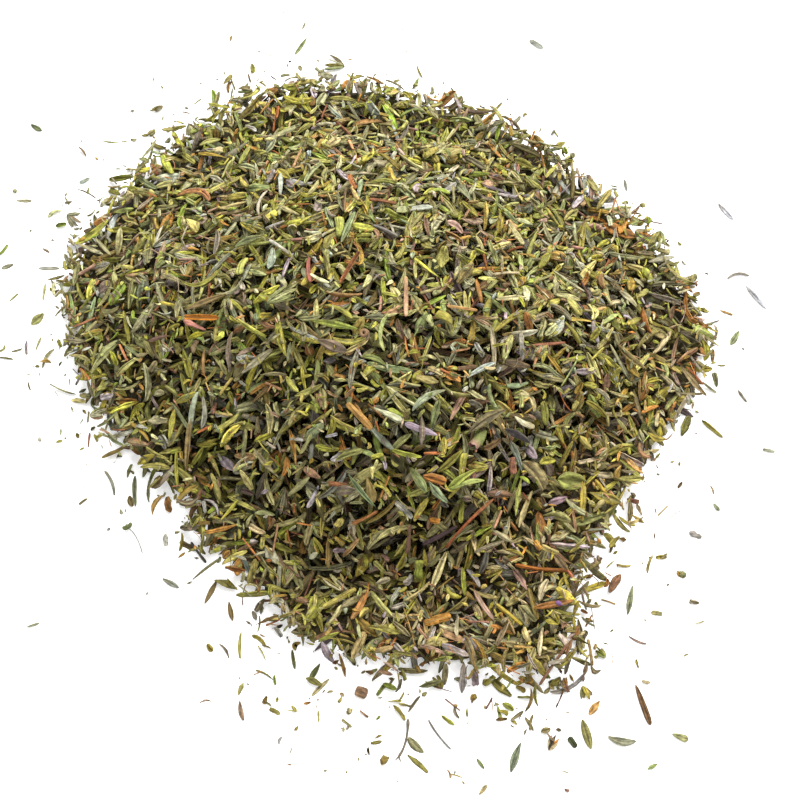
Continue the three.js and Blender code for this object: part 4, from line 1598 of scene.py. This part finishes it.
RECIPES = {
    "flower_head": coil,
    "pink_calyx": calyx,
    "stray_cup": cup,
    "flower_stalk": headed_stalk,
    "stray_stalk_bent": forked_stalk,
}
PINK = linear("#a0736c")
# painted shade: the share of the colour left deep inside a bell
BELL_INSIDE_SHADE = 0.4
print("recipes:", ", ".join(RECIPES))

# %% [markdown]
# A built piece is turned and placed like a leaf, but it isn't bent: its bends are in its paths.

# %% Make the built pieces


def part_colours(name, parts):
    """One colour per part with a little mottling. The calyx turns pink at its mouth, and both
    bells are painted darker on their inner wall, as shade in the hollow."""
    colours = np.ones((len(parts), parts[0][0].shape[0], 4))
    for number, (_, colour) in enumerate(parts):
        colours[number, :, :3] = linear(colour)
    step = np.concatenate([[0], np.repeat(STEPS, PART[1]), [1]])
    if name == "pink_calyx":
        pink = np.clip((step - 0.42) / 0.2, 0, 1)[None, :, None]
        colours[..., :3] = colours[..., :3] * (1 - pink) + PINK * pink
    # painted shade: both bells darken on the inner wall, the deeper the darker
    if name in ("pink_calyx", "stray_cup"):
        inside = np.clip((step - 0.66) / 0.2, 0, 1)[None, :, None]
        colours[..., :3] *= 1 - (1 - BELL_INSIDE_SHADE) * inside
    colours[..., :3] *= np.exp(rng.normal(0, 0.10, colours.shape[:2]))[..., None]
    return colours


for number, name in enumerate(BUILT_PIECES):
    if name not in RECIPES:
        continue
    row = pick(built, np.arange(len(BUILT_PIECES)) == number)
    row.update({key: 0 * row[key] for key in ("bow", "arch", "roll")})
    parts = RECIPES[name](row["length"][0], row["width"][0])
    local = np.stack([points for points, _ in parts])
    points = place_points(row, *np.moveaxis(local, 2, 0))
    veins = np.zeros(local.shape) + NO_VEIN
    plain = np.zeros(local.shape[1], bool)
    finish_piece(name, PART_ROUNDING, points, PART, plain, part_colours(name, parts), veins)
print("built pieces:", len(RECIPES))

# %% [markdown]
# The sprig tip is opened like the sprig ends of the heap, from its own solid's place.

# %% Make the sprig tip
TIP_TINTS = ["#7b7f4e", "#989b68", "#a8aa77", "#9a9d6c", "#a5a774", "#828557"]
sprig_row = pick(built, np.arange(len(BUILT_PIECES)) == SPRIG_ROW)
sprig_tip = open_sprigs(sprig_row, len(TIP_TINTS), 0.30, 0.32)
for key, value in (("wide_from", 0.40), ("narrow_from", 0.40), ("blunt", 0.50)):
    sprig_tip[key] = np.full(len(TIP_TINTS), value)
sprig_tip["section"] = np.array([0, 2, 1, 0, 2, 0])
sprig_tip["width"] = sprig_tip["span"] = 1.3 * sprig_tip["width"]
sprig_tip["tint"] = linear_rows(TIP_TINTS)
tip_paint = vertex_paint(sprig_tip, rings, corners)
tip_points = leaf_points(sprig_tip, rings, corners)
finish_piece("sprig_tip", LEAF_ROUNDING, tip_points, leaf_size, leaf_furrow, *tip_paint)

# %% [markdown]
# ## Floor and light
# A plain white floor, which glows a little so that it stays white, a large soft light from
# behind and to the right, and a white world all round as fill. The heap's front and left
# flanks fall into shade.

# %% Floor, lights and world
FLOOR_SIZE = 4.0  # m
FLOOR_GLOW = 0.25
WINDOW_PLACE = (0.22, 0.50, 0.64)  # m
WINDOW_SIZE = 0.70  # m
WINDOW_WATTS = 18
WORLD_STRENGTH = 1.0
AIM = (0, 0, 0.01)  # m


def stage_floor():
    """A white square at height 0, from minus half its size to half its size both ways. It is
    part of the stage, not of the object."""
    mesh = bpy.data.meshes.new("floor")
    half = FLOOR_SIZE / 2
    corners = [(-half, -half, 0), (half, -half, 0), (half, half, 0), (-half, half, 0)]
    mesh.from_pydata(corners, [], [(0, 1, 2, 3)])
    material = bpy.data.materials.new("matt white paper")
    material.use_nodes = True
    shader = material.node_tree.nodes["Principled BSDF"]
    for name, value in (
        ("Base Color", rgba("#f4f4f4")), ("Roughness", 0.9),
        ("Emission Color", rgba("#ffffff")), ("Emission Strength", FLOOR_GLOW),
    ):
        shader.inputs[name].default_value = value
    mesh.materials.append(material)
    floor = bpy.data.objects.new("floor", mesh)
    bpy.context.scene.collection.objects.link(floor)


def add_light(name, place, size, watts):
    """A square area light at a place. It is tipped by the angle whose cosine is its height over
    its distance from the aim, and turned towards it."""
    light = bpy.data.lights.new(name, "AREA")
    light.size = size
    light.energy = watts
    lamp = bpy.data.objects.new(name, light)
    lamp.location = place
    away = np.array(place) - np.array(AIM)
    lamp.rotation_euler = (
        math.acos(away[2] / np.linalg.norm(away)), 0, math.atan2(away[0], -away[1])
    )
    bpy.context.scene.collection.objects.link(lamp)


stage_floor()
add_light("window", WINDOW_PLACE, WINDOW_SIZE, WINDOW_WATTS)
world = bpy.data.worlds.new("studio")
world.use_nodes = True
background = world.node_tree.nodes["Background"]
background.inputs["Color"].default_value = rgba("#ffffff")
background.inputs["Strength"].default_value = WORLD_STRENGTH
bpy.context.scene.world = world
print("floor:", FLOOR_SIZE, "m, window:", WINDOW_WATTS, "W")
